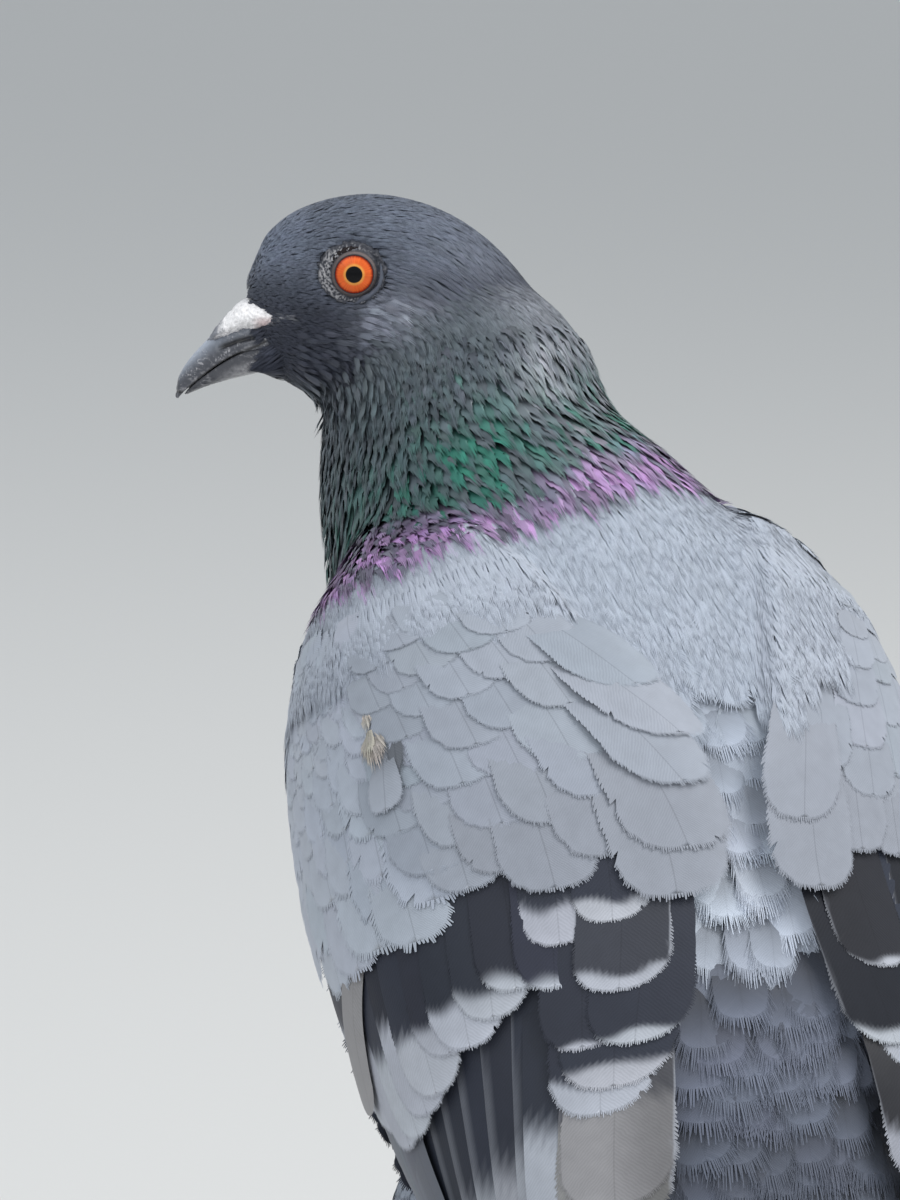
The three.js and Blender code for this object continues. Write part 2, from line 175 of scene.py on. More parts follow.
def axis(s):
    """Centre, back and tailward directions of the trunk's axis at each station."""
    s = np.asarray(s, float)
    pitch = np.radians(lookup(AXIS_PITCH, s.ravel())[:, 0]).reshape(s.shape)
    zero = np.zeros_like(s)
    before = np.minimum(s, 0)
    y = np.interp(s, AXIS_S, AXIS_Y) + before * np.cos(pitch)
    z = np.interp(s, AXIS_S, AXIS_Z) - before * np.sin(pitch)
    return (np.stack([zero, y, z], -1), np.stack([zero, np.sin(pitch), np.cos(pitch)], -1),
            np.stack([zero, np.cos(pitch), -np.sin(pitch)], -1))


def wing_point(side, s, t, lift=0.0):
    """A point of the folded wing's outer face. t is 0 at the edge by the spine and 1 at the lower edge.

    Below 0 the face runs on over the back and sinks towards it.
    """
    s, t = np.broadcast_arrays(np.asarray(s, float), np.asarray(t, float))
    ix, iz, mx, mz, ox, oz = [c.reshape(s.shape) for c in lookup(WING, s.ravel())[:, :6].T]
    cx, cz = 2 * mx - (ix + ox) / 2, 2 * mz - (iz + oz) / 2
    x = (1 - t)**2 * ix + 2 * t * (1 - t) * cx + t**2 * ox
    z = (1 - t)**2 * iz + 2 * t * (1 - t) * cz + t**2 * oz
    dx, dz = (1 - t) * (cx - ix) + t * (ox - cx), (1 - t) * (cz - iz) + t * (oz - cz)
    size = np.hypot(dx, dz)
    z = z - OVER_BACK_SINK * (2 * size * np.minimum(t, 0))**2
    x, z = x - lift * dz / size, z + lift * dx / size
    centre, back, _ = axis(s)
    point = centre + back * z[..., None]
    point[..., 0] += side * x
    return point


def wing_pace(side, s, t):
    """Millimetres across the wing for each unit of t."""
    step = wing_point(side, s, t + 0.01) - wing_point(side, s, t - 0.01)
    return np.linalg.norm(step, axis=-1) / 0.02


def head_point(f, up, out=0.0):
    return HEAD_AT + FORWARD * f + CROWN_WAY * up + LEFT * out


def in_head(points):
    """Forward, up and left of the head's middle."""
    p = np.asarray(points) - HEAD_AT
    return p @ FORWARD, p @ CROWN_WAY, p @ LEFT


def make_guide():
    """Points along the lie of the plumage, each with its direction and its station, below 0 on the head."""
    head = np.array([head_point(f, -6) for f in (18, 12, 6, 0, -6, -12)])
    back_of_head = np.array([head_point(-16, -12), head_point(-15, -20)])
    line = np.array([*head, *back_of_head, *NECK_LINE[1:], axis(0.0)[0]])
    spaced = [line[0]]
    for a, b in zip(line[:-1], line[1:]):
        steps = max(1, int(np.linalg.norm(b - a) / GUIDE_STEP))
        spaced += [a + (b - a) * k / steps for k in range(1, steps + 1)]
    trunk = axis(np.arange(GUIDE_STEP, AXIS_END, GUIDE_STEP))[0]
    points = np.vstack([spaced, trunk])
    ways = unit(np.gradient(points, axis=0))
    lengths = np.concatenate([[0], np.cumsum(np.linalg.norm(np.diff(points, axis=0), axis=1))])
    return points, ways, lengths - lengths[len(spaced) - 1]


GUIDE, GUIDE_WAY, GUIDE_S = make_guide()


def flow(points, spread=9.0):
    """Direction of lie and station at each point, blended from the nearest parts of the guide."""
    gap = ((points[:, None] - GUIDE[None])**2).sum(-1)
    weight = np.exp(-(gap - gap.min(1, keepdims=True)) / (2 * spread**2))
    weight /= weight.sum(1, keepdims=True)
    return weight @ GUIDE_WAY, weight @ GUIDE_S


def collar(points):
    """How far above the edge of the mantle a point of the neck lies."""
    p = points.copy()
    p[..., 0] = np.maximum(p[..., 0], -10)
    return p @ COLLAR_WAY - COLLAR_AT


# ---------------- meshes
def new_mesh(name, verts, faces, colour=None, uvs=None):
    """A joined mesh object from arrays in millimetres, with a tint on each vertex and UV maps by name."""
    faces = np.asarray(faces)
    mesh = bpy.data.meshes.new(name)
    mesh.vertices.add(len(verts))
    mesh.vertices.foreach_set("co", (np.asarray(verts, np.float32) * MM).ravel())
    corners = faces.shape[1]
    mesh.loops.add(faces.size)
    mesh.loops.foreach_set("vertex_index", faces.ravel().astype(np.int32))
    mesh.polygons.add(len(faces))
    mesh.polygons.foreach_set("loop_start", np.arange(0, faces.size, corners, dtype=np.int32))
    mesh.polygons.foreach_set("loop_total", np.full(len(faces), corners, np.int32))
    mesh.polygons.foreach_set("use_smooth", np.full(len(faces), True))
    mesh.update(calc_edges=True)
    for key, uv in (uvs or {}).items():
        layer = mesh.uv_layers.new(name=key)
        layer.uv.foreach_set("vector", np.asarray(uv, np.float32)[faces.ravel()].ravel())
    if colour is not None:
        tint(mesh, colour)
    mesh.validate()
    thing = bpy.data.objects.new(name, mesh)
    bpy.context.scene.collection.objects.link(thing)
    return thing


def tint(mesh, colour):
    layer = mesh.color_attributes.new("Tint", "FLOAT_COLOR", "POINT")
    rgba = np.ones((len(mesh.vertices), 4), np.float32)
    rgba[:, :3] = colour
    layer.data.foreach_set("color", rgba.ravel())


def vertices_of(mesh):
    co = np.empty(len(mesh.vertices) * 3, np.float32)
    mesh.vertices.foreach_get("co", co)
    return co.reshape(-1, 3).astype(float) / MM


def set_vertices(mesh, verts):
    mesh.vertices.foreach_set("co", (np.asarray(verts, np.float32) * MM).ravel())
    mesh.update()


def normals_of(mesh):
    out = np.empty(len(mesh.vertices) * 3, np.float32)
    mesh.vertex_normals.foreach_get("vector", out)
    return out.reshape(-1, 3).astype(float)


def relax(mesh, values, rounds, share=0.5):
    """Laplacian smoothing of any per-vertex values over a mesh's edges."""
    edges = np.empty(len(mesh.edges) * 2, np.int32)
    mesh.edges.foreach_get("vertices", edges)
    a, b = edges.reshape(-1, 2).T
    count = np.bincount(a, minlength=len(values)) + np.bincount(b, minlength=len(values))
    for _ in range(rounds):
        total = np.zeros_like(values)
        np.add.at(total, a, values[b])
        np.add.at(total, b, values[a])
        values = values + share * (total / np.maximum(count, 1)[:, None] - values)
    return values


def remeshed(name, nodes, voxel, grow=0.25, rounds=3):
    """One even closed mesh round copies of CAD nodes. grow closes the thin gaps between them."""
    joined_verts, joined_faces, offset = [], [], 0
    for node in nodes:
        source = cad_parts[node].data
        source.calc_loop_triangles()
        verts = vertices_of(source)
        tris = np.empty(len(source.loop_triangles) * 3, np.int32)
        source.loop_triangles.foreach_get("vertices", tris)
        keys, merged = np.unique(verts.round(3), axis=0, return_inverse=True)
        joined_verts.append(keys)
        joined_faces.append(merged.ravel()[tris].reshape(-1, 3) + offset)
        offset += len(keys)
    base = new_mesh(name, np.vstack(joined_verts), np.vstack(joined_faces))
    set_vertices(base.data, vertices_of(base.data) + normals_of(base.data) * grow)
    modifier = base.modifiers.new("even", "REMESH")
    modifier.mode = "VOXEL"
    modifier.voxel_size = voxel * MM
    made = bpy.data.meshes.new_from_object(base.evaluated_get(bpy.context.evaluated_depsgraph_get()))
    base.modifiers.clear()
    base.data = made
    made.polygons.foreach_set("use_smooth", np.full(len(made.polygons), True))
    verts = vertices_of(made)
    for _ in range(rounds):
        verts = relax(made, relax(made, verts, 1), 1, -0.42)
    set_vertices(made, verts)
    set_vertices(made, verts - normals_of(made) * grow)
    return base


def grain(points, size, seed=0.0):
    """Smooth noise from -1 to 1 with lumps of about the given size."""
    return np.array([noise.noise(Vector(p / size) + Vector((seed, seed, seed))) for p in points])


# ---------------- materials
class Nodes:
    """Short names for building a material's nodes."""

    def __init__(self, name):
        self.material = bpy.data.materials.new(name)
        self.material.use_nodes = True
        self.tree = self.material.node_tree
        self.shader = self.tree.nodes["Principled BSDF"]

    def add(self, kind, **values):
        node = self.tree.nodes.new(kind)
        for key, value in values.items():
            if hasattr(node, key):
                setattr(node, key, value)
            else:
                node.inputs[key].default_value = value
        return node

    def link(self, a, b):
        self.tree.links.new(a, b)

    def math(self, operation, a, b=None):
        node = self.add("ShaderNodeMath", operation=operation)
        for socket, value in zip(node.inputs, (a, b)):
            if value is None:
                continue
            if isinstance(value, (int, float)):
                socket.default_value = value
            else:
                self.link(value, socket)
        return node.outputs[0]

    def noise(self, scale, detail=3.0):
        coordinates = self.add("ShaderNodeTexCoord")
        node = self.add("ShaderNodeTexNoise")
        node.inputs["Scale"].default_value = scale
        node.inputs["Detail"].default_value = detail
        self.link(coordinates.outputs["Object"], node.inputs["Vector"])
        return node.outputs["Fac"]

    def tinted(self, share, low, high):
        """The vertex tint, made darker and lighter by a value from 0 to 1."""
        attribute = self.add("ShaderNodeAttribute", attribute_name="Tint")
        span = self.add("ShaderNodeMapRange")
        span.inputs["To Min"].default_value = low
        span.inputs["To Max"].default_value = high
        self.link(share, span.inputs["Value"])
        scaled = self.add("ShaderNodeVectorMath", operation="SCALE")
        self.link(attribute.outputs["Color"], scaled.inputs[0])
        self.link(span.outputs[0], scaled.inputs["Scale"])
        self.link(scaled.outputs[0], self.shader.inputs["Base Color"])
        return scaled.outputs[0]

    def rough(self, share, low, high):
        span = self.add("ShaderNodeMapRange")
        span.inputs["To Min"].default_value = low
        span.inputs["To Max"].default_value = high
        self.link(share, span.inputs["Value"])
        self.link(span.outputs[0], self.shader.inputs["Roughness"])

    def bump(self, height, strength, distance):
        node = self.add("ShaderNodeBump")
        node.inputs["Strength"].default_value = strength
        node.inputs["Distance"].default_value = distance * MM
        self.link(height, node.inputs["Height"])
        self.link(node.outputs[0], self.shader.inputs["Normal"])


def plumage(name, rough, strength, shaft, barb=0.42, sheen=0.15, metallic=0.0, specular=0.35):
    """Vanes: fine barb lines slant off a thin dark shaft, from a UV map in millimetres (across, along)."""
    n = Nodes(name)
    uv = n.add("ShaderNodeUVMap", uv_map="Vane")
    split = n.add("ShaderNodeSeparateXYZ")
    n.link(uv.outputs[0], split.inputs[0])
    across = n.math("ABSOLUTE", split.outputs[0])
    slant = n.math("SUBTRACT", split.outputs[1], n.math("MULTIPLY", across, 0.9))
    wander = n.math("MULTIPLY", n.noise(900.0, 2.0), 9.0)
    phase = n.math("ADD", n.math("MULTIPLY", slant, 2 * math.pi / barb), wander)
    wave = n.math("MULTIPLY_ADD", n.math("SINE", phase), 0.5)
    wave.node.inputs[2].default_value = 0.5
    fine = n.noise(420.0, 4.0)
    height = n.math("ADD", n.math("MULTIPLY", wave, 0.3), n.math("MULTIPLY", fine, 0.7))
    colour = n.tinted(height, 0.82, 1.18)
    rib = n.add("ShaderNodeMapRange")
    for socket, value in (("From Min", 0.05), ("From Max", 0.16), ("To Min", shaft), ("To Max", 1.0)):
        rib.inputs[socket].default_value = value
    n.link(across, rib.inputs["Value"])
    ribbed = n.add("ShaderNodeVectorMath", operation="SCALE")
    n.link(colour, ribbed.inputs[0])
    n.link(rib.outputs[0], ribbed.inputs["Scale"])
    n.link(ribbed.outputs[0], n.shader.inputs["Base Color"])
    n.rough(fine, *rough)
    n.bump(height, strength, 0.09)
    shader = n.shader
    shader.inputs["Sheen Weight"].default_value = sheen
    shader.inputs["Sheen Roughness"].default_value = 0.5
    shader.inputs["Metallic"].default_value = metallic
    shader.inputs["Specular IOR Level"].default_value = specular
    return n.material


def skin_material(name, rough=(0.55, 0.8), scale=700.0, strength=0.4, coat=0.0, specular=0.4):
    """Tinted skin, horn or chalk with fine irregular relief."""
    n = Nodes(name)
    fine = n.noise(scale, 5.0)
    n.tinted(fine, 0.72, 1.25)
    n.rough(fine, *rough)
    n.bump(fine, strength, 0.3)
    n.shader.inputs["Coat Weight"].default_value = coat
    n.shader.inputs["Coat Roughness"].default_value = 0.25
    n.shader.inputs["Specular IOR Level"].default_value = specular
    return n.material


# ---------------- markings and painted sheen, shared by skin and coat
def markings_and_sheen(points, station, ragged=0.0):
    """Colour of the plumage away from the wings at each point of the body, with its painted sheen and light.
    """
    f, up, out = in_head(points)
    centre, back, _ = axis(np.maximum(station, 0))
    off = points - centre
    dorsal = (off * back).sum(-1) / np.maximum(np.linalg.norm(off, axis=-1), 1e-6)
    height = collar(points) + ragged
    # head: paler from cheek up to crown, partly own tone and partly painted light from above
    colour = blend(CHEEK, SLATE, smooth((up + 8) / 10))
    colour = blend(colour, CROWN * 0.83, smooth((up + 1) / 7))
    ear = np.exp(-(((f + 10) / 6.5)**2 + ((up + 8.5) / 4.6)**2))
    colour = blend(colour, CHEEK_PALE, 0.9 * ear)
    # The forehead and the front of the crown are brightened as painted light.
    colour = colour * (1 + 0.75 * smooth((f - 3) / 9) * smooth((up + 2) / 6))[..., None]
    # gape: a dry pale streak runs back from the corner of the bill
    gape = smooth(1.6 - np.abs(up + 8.2 - (f - 12) * -0.25) / 0.7)
    gape = gape * smooth((f - 6.5) / 2) * smooth((14 - f) / 2)
    colour = blend(colour, np.array([0.24, 0.245, 0.265]),
                   gape * smooth(ragged / 3.0 + 0.35) * (np.abs(out) > 3))
    # neck, from the head down: dull slate, green gloss, then a purple band at the edge of the mantle
    neck = smooth((-16 - up) / 9)
    neck = np.maximum(neck, smooth((46 - height) / 14) * (station > -60))
    x = points[..., 0]
    # The nape's paler hackles are a painted sheen of the sky.
    nape_sheen = smooth((14 - x) / 16) * smooth((height - 4) / 8) * (points[..., 1] > -92)
    colour = blend(colour, blend(HACKLE, NAPE_SHEEN, 0.75 * nape_sheen), neck)
    middle = np.exp(-((np.abs(x - 6) - 13) / 11)**2) * (points[..., 1] > -110)
    gloss = np.exp(-((height - 17.5) / 8.5)**2) * (0.42 + 0.58 * middle)
    patch = smooth(0.45 + 0.5 * np.sin(x * 0.5 + 1.0) * np.cos(points[..., 2] * 0.41) + ragged * 0.35)
    sheen = blend(TEAL, GREEN, patch * (0.3 + 0.7 * middle))
    colour = blend(colour, sheen, np.clip(gloss * (0.75 + 0.3 * ragged), 0, 0.95))
    band = np.interp(x, [-12, 0, 8, 16, 27, 36, 46], [15, 14, 12, 9, 12, 16, 19])
    purple = smooth((band - height) / 3.5) * np.clip(0.55 + 0.3 * ragged, 0.1, 1)
    colour = blend(colour, PURPLE, purple * (0.35 + 0.65 * smooth((points[..., 1] + 100) / 25)))
    # mantle, back, rump
    below = smooth((1.5 - height) / 2.5)
    rump = blend(RUMP_PALE, RUMP_GREY, smooth((station - PALE_RUMP_END) / 16))
    rump = blend(rump, TAIL_GREY, smooth((station - 86) / 22))
    upper = blend(MANTLE, rump, smooth((station - 48) / 10))
    lower = blend(BREAST, BELLY, smooth((station - 10) / 60))
    lower = blend(lower, TAIL_GREY, smooth((station - 120) / 20))
    body = blend(lower, upper, smooth((dorsal + 0.25) / 0.5))
    # the folded wings, under and between their own feathers
    gap, along_wing, _ = COVER.find(points)
    wing_top = blend(blend(COVERT, MANTLE, 0.5), BAR, smooth((along_wing - BAR_START) / 4))
    body = blend(body, wing_top, smooth((3.4 - gap) / 1.2))
    return blend(colour, body, below)


# ---------------- feather forms
class Form:
    """A flat feather of unit length and half width 1, whose barbs come apart into a fringe along its edge.

    steps is the number of steps down each side, cols the steps from shaft to edge, and barbs the loose ends
    in each step. fringe is their length in shares of the feather's, fill how much of the edge they take up,
    blunt how wide they end, loose where along the feather they begin, fan how far they turn out at the
    sides, and aspect the feather's length over its half width.
    """

    def __init__(self, steps, cols, barbs, seed, widest, base, power, slant, fringe, fill, ragged, ripple,
                 aspect, blunt=0.5, tip=0.7, crack=0.03, start=0.08, lean=0.0, loose=0.35, fan=0.75):
        dice = np.random.default_rng(seed)
        plain = max(2, round(steps * (1 - tip)))
        early = start + (widest - start) * np.arange(plain) / plain
        turn = np.linspace(0, math.pi / 2, steps - plain + 1)
        ends = np.concatenate([early, widest + (1 - widest) * np.sin(turn)**(2 / power)])
        halves = np.concatenate([base + (1 - base) * smooth(early / widest),
                                 np.abs(np.cos(turn))**(2 / power)])
        root = np.maximum(0, ends - slant * halves - 0.05 * (1 - ends))
        table = [np.stack([root, 0 * root, 0 * root], -1)]
        faces, count = [], len(root)
        for side in (-1, 1):
            clump = 1 + dice.integers(0, 3, len(ends))
            length = np.repeat(1 - 0.1 * ragged * dice.random(len(ends)), clump)[:len(ends)]
            crimp = dice.normal(0, ripple, len(ends))
            columns = [np.arange(len(ends))]
            for c in 1 - (1 - np.arange(1, cols + 1) / cols)**1.5:
                columns.append(count + np.arange(len(ends)))
                reach = 1 + (length - 1) * c**3
                across = side * (1 + lean * side) * halves * c * reach
                table.append(np.stack([root + (ends - root) * c**1.15 * reach, across, crimp * c**2], -1))
                count += len(ends)
            rim = table[-1]
            whole = dice.random(len(ends)) > crack
            for k in range(len(ends) - 1):
                for c in range(cols):
                    a, b = columns[c][k], columns[c][k + 1]
                    d, e = columns[c + 1][k], columns[c + 1][k + 1]
                    cell = [(a, b, e), (a, e, d)] if side < 0 else [(a, e, b), (a, d, e)]
                    faces += cell if c < cols - 1 or whole[k] else cell[:1]
                if ends[k] < loose or not whole[k]:
                    continue
                for j in range(barbs):
                    left = rim[k] + (rim[k + 1] - rim[k]) * j / barbs
                    right = rim[k] + (rim[k + 1] - rim[k]) * (j + fill) / barbs
                    sweep = 0.05 + fan * halves[k]**1.5 + dice.normal(0, 0.07)
                    reach = fringe * smooth((ends[k] - loose) / 0.15 + 0.3) * dice.uniform(0.45, 1.2)
                    way = np.array([math.cos(sweep),
                                    side * math.sin(sweep) * aspect * smooth(halves[k] / 0.3), 0])
                    apex = (left + right) / 2 + reach * way
                    apex[2] += dice.normal(0, ripple)
                    half = (right - left) * blunt / 2
                    table.append(np.stack([left, right, apex - half, apex + half]))
                    a, b, d, e = range(count, count + 4)
                    faces += [(a, b, e), (a, e, d)] if side < 0 else [(a, e, b), (a, d, e)]
                    count += 4
        self.along, self.across, self.crimp = np.vstack(table).T
        self.faces = np.array(faces)


class Lock:
    """Narrow strands side by side, each with a point of its own, like the loose barbs of a soft feather.

    gather draws the points together, so that the lock ends like a lance, and taper shortens its outer
    strands.
    """

    def __init__(self, strands, seed, rows=(0.0, 0.5), gather=0.0, taper=0.3, relief=0.02, vault=0.05):
        dice = np.random.default_rng(seed)
        edge = np.linspace(-1, 1, strands + 1)
        table = []
        for share in rows:
            width = 0.45 + 0.55 * smooth(share / 0.45)
            height = -vault * edge**2 + relief * dice.normal(0, 1, len(edge)) * (share > 0)
            table.append(np.stack([share * (1 - 0.2 * taper * edge**2), edge * width, height], -1))
        middle = (edge[1:] + edge[:-1]) / 2
        ends = (1 - taper * middle**2) * dice.uniform(0.84, 1.0, strands)
        spread = middle * (1 - gather) + dice.normal(0, 0.1, strands)
        table.append(np.stack([ends, spread, -vault * middle**2 + relief * dice.normal(0, 1, strands)], -1))
        faces = []
        for row in range(len(rows) - 1):
            for k in range(strands):
                a = row * (strands + 1) + k
                faces += [(a, a + 1, a + strands + 2), (a, a + strands + 2, a + strands + 1)]
        last = (len(rows) - 1) * (strands + 1)
        faces += [(last + k, last + k + 1, last + strands + 1 + k) for k in range(strands)]
        self.along, self.across, self.crimp = np.vstack(table).T
        self.faces = np.array(faces)


def knot_weights(along, knots):
    """How much each knot of a feather's shaft counts at each vertex of its form."""
    at = np.asarray(along) * (knots - 1)
    i = np.clip(np.floor(at).astype(int), 0, knots - 2)
    t = at - i
    weight = np.zeros((len(at), knots))
    weight[np.arange(len(at)), i] = 1 - t
    weight[np.arange(len(at)), i + 1] += t
    return weight


class BodyBed:
    """Feathers laid along bent shafts, with their vanes bowed to the surface under them."""

    def __init__(self, shaft, up, width=1.0, drop=None):
        self.shaft, self.up = shaft, up
        self.width = np.broadcast_to(np.asarray(width, float), (len(shaft),))[:, None]
        self.drop = np.zeros((*shaft.shape[:2], 2)) if drop is None else drop
        self.length = np.linalg.norm(np.diff(shaft, axis=1), axis=-1).sum(1)[:, None]

    def __len__(self):
        return len(self.shaft)

    def pick(self, chosen):
        return BodyBed(self.shaft[chosen], self.up[chosen], self.width[chosen, 0], self.drop[chosen])

    def place(self, along, across, height):
        weight = knot_weights(along, self.shaft.shape[1])
        centre = np.einsum("vk,fkj->fvj", weight, self.shaft)
        up = unit(np.einsum("vk,fkj->fvj", weight, self.up))
        ahead = unit(np.einsum("vk,fkj->fvj", weight, np.gradient(self.shaft, axis=1)))
        aside = unit(np.cross(ahead, up))
        drop = np.einsum("vk,fkc->fvc", weight, self.drop)
        bow = np.where(across > 0, drop[..., 1], drop[..., 0]) * (across / self.width)**2
        return centre + aside * across[..., None] + up * (height - bow)[..., None]


# Where the wing has fewer millimetres across it than this, its feathers narrow with it.
LEAST_PACE = 16.0


class WingBed:
    """Feathers laid on a folded wing, each ending at a station and a place across it.

    over is the surface of the back, which they stay above where they reach past the wing's inner edge.
    """

    def __init__(self, side, tip, t, length, drift=0.0, over=None):
        self.side, self.over = side, over
        shaped = np.broadcast_arrays(*[np.atleast_1d(np.asarray(v, float)) for v in (tip, t, length, drift)])
        self.tip, self.t, self.length, self.drift = [v.reshape(-1, 1) for v in shaped]

    def __len__(self):
        return len(self.tip)

    def pick(self, chosen):
        return WingBed(self.side, *[v[chosen, 0] for v in (self.tip, self.t, self.length, self.drift)],
                       self.over)

    def station(self, along):
        return self.tip - self.length * (1 - along[None])

    def place(self, along, across, height):
        s = self.station(along)
        t = self.t - self.drift * (1 - along[None])
        t = t + self.side * across / np.maximum(wing_pace(self.side, s, t), LEAST_PACE)
        place = wing_point(self.side, s, t, height)
        if self.over is None or t.min() > 0:
            return place
        beyond = t < 0
        found, normal = self.over.nearest(place[beyond])
        lack = height[beyond] - ((place[beyond] - found) * normal).sum(1)
        place[beyond] += normal * (np.maximum(lack, 0) * smooth(-t[beyond] / 0.03))[:, None]
        return place

    def chart(self):
        """The place of each root on the unwrapped wing."""
        return wing_chart((self.tip - self.length)[:, 0], self.t[:, 0])


class Tract:
    """The feathers of one piece, joined into a single mesh."""

    BAKE_PATCH = 0.003

    def __init__(self, name, slot, material):
        self.name, self.slot, self.material = name, slot, material
        self.verts, self.faces, self.colour, self.vane, self.bake = [], [], [], [], []
        self.count = 0

    def add(self, form, bed, width, depth, rise, paint, chart, camber=0.0, roll=0.03, lift=0.0, curl=0.0,
            patch=None, tilt=0.0):
        """Lays one form on each place of a bed. paint(along, across) gives the tints.

        width is the half width, depth how far the root lies under the surface and rise the tip over it.
        camber bows the vane across, tilt and roll are the mean and the spread of its slant, curl turns its
        tip down and lift raises all of it. chart is its place in the map and patch the size of that place.
        """
        count = len(bed)
        if count == 0:
            return

        def each(v):
            return np.broadcast_to(np.asarray(v, float), (count,))[:, None]
        along, side = form.along[None], form.across[None]
        across = side * each(width)
        height = each(rise) * along - each(depth) * (1 - smooth(along / 0.6))
        height = height - each(curl) * smooth((along - 0.7) / 0.3)
        height = height + each(lift) + form.crimp[None] - each(camber) * side**2
        height = height + rng.normal(tilt, roll, (count, 1)) * across
        place = bed.place(form.along, across, height)
        vane = np.stack([across, along * bed.length + rng.random((count, 1)) * 3], -1)
        size = self.BAKE_PATCH if patch is None else patch
        local = np.stack([form.across * 0.5, form.along - 0.5], -1)[None]
        bake = chart[:, None] + local * np.broadcast_to(np.asarray(size, float), (2,))
        self.verts.append(place.reshape(-1, 3))
        starts = self.count + np.arange(count) * len(form.along)
        self.faces.append((form.faces[None] + starts[:, None, None]).reshape(-1, 3))
        self.colour.append(np.clip(paint(form.along, form.across), 0.002, 1).reshape(-1, 3))
        self.vane.append(vane.reshape(-1, 2))
        self.bake.append(bake.reshape(-1, 2))
        self.count += count * len(form.along)

    def build(self, *replaced):
        faces = np.vstack(self.faces)
        made = new_mesh(self.name, np.vstack(self.verts), faces, np.vstack(self.colour),
                        {"OFBake": np.vstack(self.bake), "Vane": np.vstack(self.vane)})
        made.data.materials.append(self.material)
        print("piece", self.name, "triangles", len(faces))
        finish_piece(made, self.slot, *replaced)
        return made


def finish_piece(thing, slot, *replaced):
    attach(thing, "root")
    if replaced:
        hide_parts(*replaced)


# ---------------- the skin and the outline it is drawn in from
FLESH = ["head", "neck", "trunk", "wing_shield_left", "wing_shield_right", "thigh_left", "thigh_right"]
OUTLINE_VOXEL = 1.4
GROOVE_FILL = 6.0
# How far out the cheek lies over each eye's socket, by side. fill_sockets() fits it.
CHEEK_OUT = {}


def coat_depth(points, station):
    """The plumage is thin over the face, the mantle and the front of the wings, and deeper elsewhere."""
    _, up, _ = in_head(points)
    head = smooth((up + 20) / 10) * (station < -20)
    thigh = smooth((70 - points[:, 2]) / 30) * (np.abs(points[:, 0]) < 40)
    soft = smooth((50 - station) / 12) * smooth((points[:, 2] - 150) / 15)
    soft = soft * smooth((points[:, 1] + 105) / 25)
    neck = smooth((collar(points) - 2) / 4)
    depth = blend(np.array([2.6]), np.array([0.85]), soft)[:, 0]
    depth = depth + (1.5 - depth) * neck
    depth = depth + (0.75 - depth) * head
    return np.minimum(depth, 2.6 - 1.4 * thigh)


def fill_grooves(mesh, verts):
    """Fills the creases where neck, back and wings meet, as plumage does, back to the mantle's end."""
    _, station = flow(verts)
    normals = unit(relax(mesh, normals_of(mesh), 4))
    eased = relax(mesh, verts, 70)
    gain = np.clip(((eased - verts) * normals).sum(1), 0, GROOVE_FILL)
    gain = gain * smooth((40 - np.abs(verts[:, 0])) / 10)
    share = smooth((52 - station) / 16) * smooth((station + 45) / 15) * smooth((verts[:, 2] - 150) / 20)
    return verts + normals * relax(mesh, (gain * share)[:, None], 4)


def bowed(f, up):
    """The terms of a surface curved both ways."""
    return np.stack([np.ones_like(f), f, up, f * f, f * up, up * up], -1)


def over_socket(verts, side):
    """How far out the cheek would lie over the eye's socket, as a function of f and up fitted to its rim."""
    f, up, out = in_head(verts)
    r = np.hypot(f + EYE_BACK, up)
    rim = (r > EYE_SOCKET + 0.4) & (r < EYE_SOCKET + 2.6) & (out * side > 4)
    fitted = np.linalg.lstsq(bowed(f[rim], up[rim]), out[rim] * side, rcond=None)[0]
    return lambda f, up: bowed(f, up) @ fitted


def fill_sockets(verts):
    """Closes the pit round each eye up to the lids, so that feathers can stand close to it."""
    for side in (1, -1):
        cheek = over_socket(verts, side)
        CHEEK_OUT[side] = cheek
        f, up, out = in_head(verts)
        r = np.hypot(f + EYE_BACK, up)
        pit = (r < EYE_SOCKET + 0.5) & (out * side > 3)
        target = cheek(f[pit], up[pit]) - 0.9 * smooth((5.8 - r[pit]) / 0.8)
        target = target - 4 * smooth((3.4 - r[pit]) / 1.2)
        verts[pit] += LEFT * (side * target - out[pit])[:, None]
    return verts


def outline():
    """The outer surface of the plumage: its object, vertices, smooth normals, triangles and search tree."""
    thing = remeshed("skin", FLESH, OUTLINE_VOXEL)
    mesh = thing.data
    set_vertices(mesh, fill_grooves(mesh, fill_sockets(vertices_of(mesh))))
    verts = vertices_of(mesh)
    normals = unit(relax(mesh, normals_of(mesh), 3))
    mesh.calc_loop_triangles()
    tris = np.empty(len(mesh.loop_triangles) * 3, np.int32)
    mesh.loop_triangles.foreach_get("vertices", tris)
    tris = tris.reshape(-1, 3)
    tree = BVHTree.FromPolygons(verts.tolist(), tris.tolist())
    return thing, verts, normals, tris, tree


def draw_in(thing, verts, normals):
    """Turns the outline into the skin under the coat, with the coat's markings and painted sheen."""
    mesh = thing.data
    _, station = flow(verts)
    depth = relax(mesh, coat_depth(verts, station)[:, None], 4)
    moved = relax(mesh, verts - normals * depth, 2)
    set_vertices(mesh, moved)
    tint(mesh, 0.9 * markings_and_sheen(verts, station))
    mesh.materials.append(skin_material("skin_under_coat"))
    finish_piece(thing, "body_feathers", *FLESH)


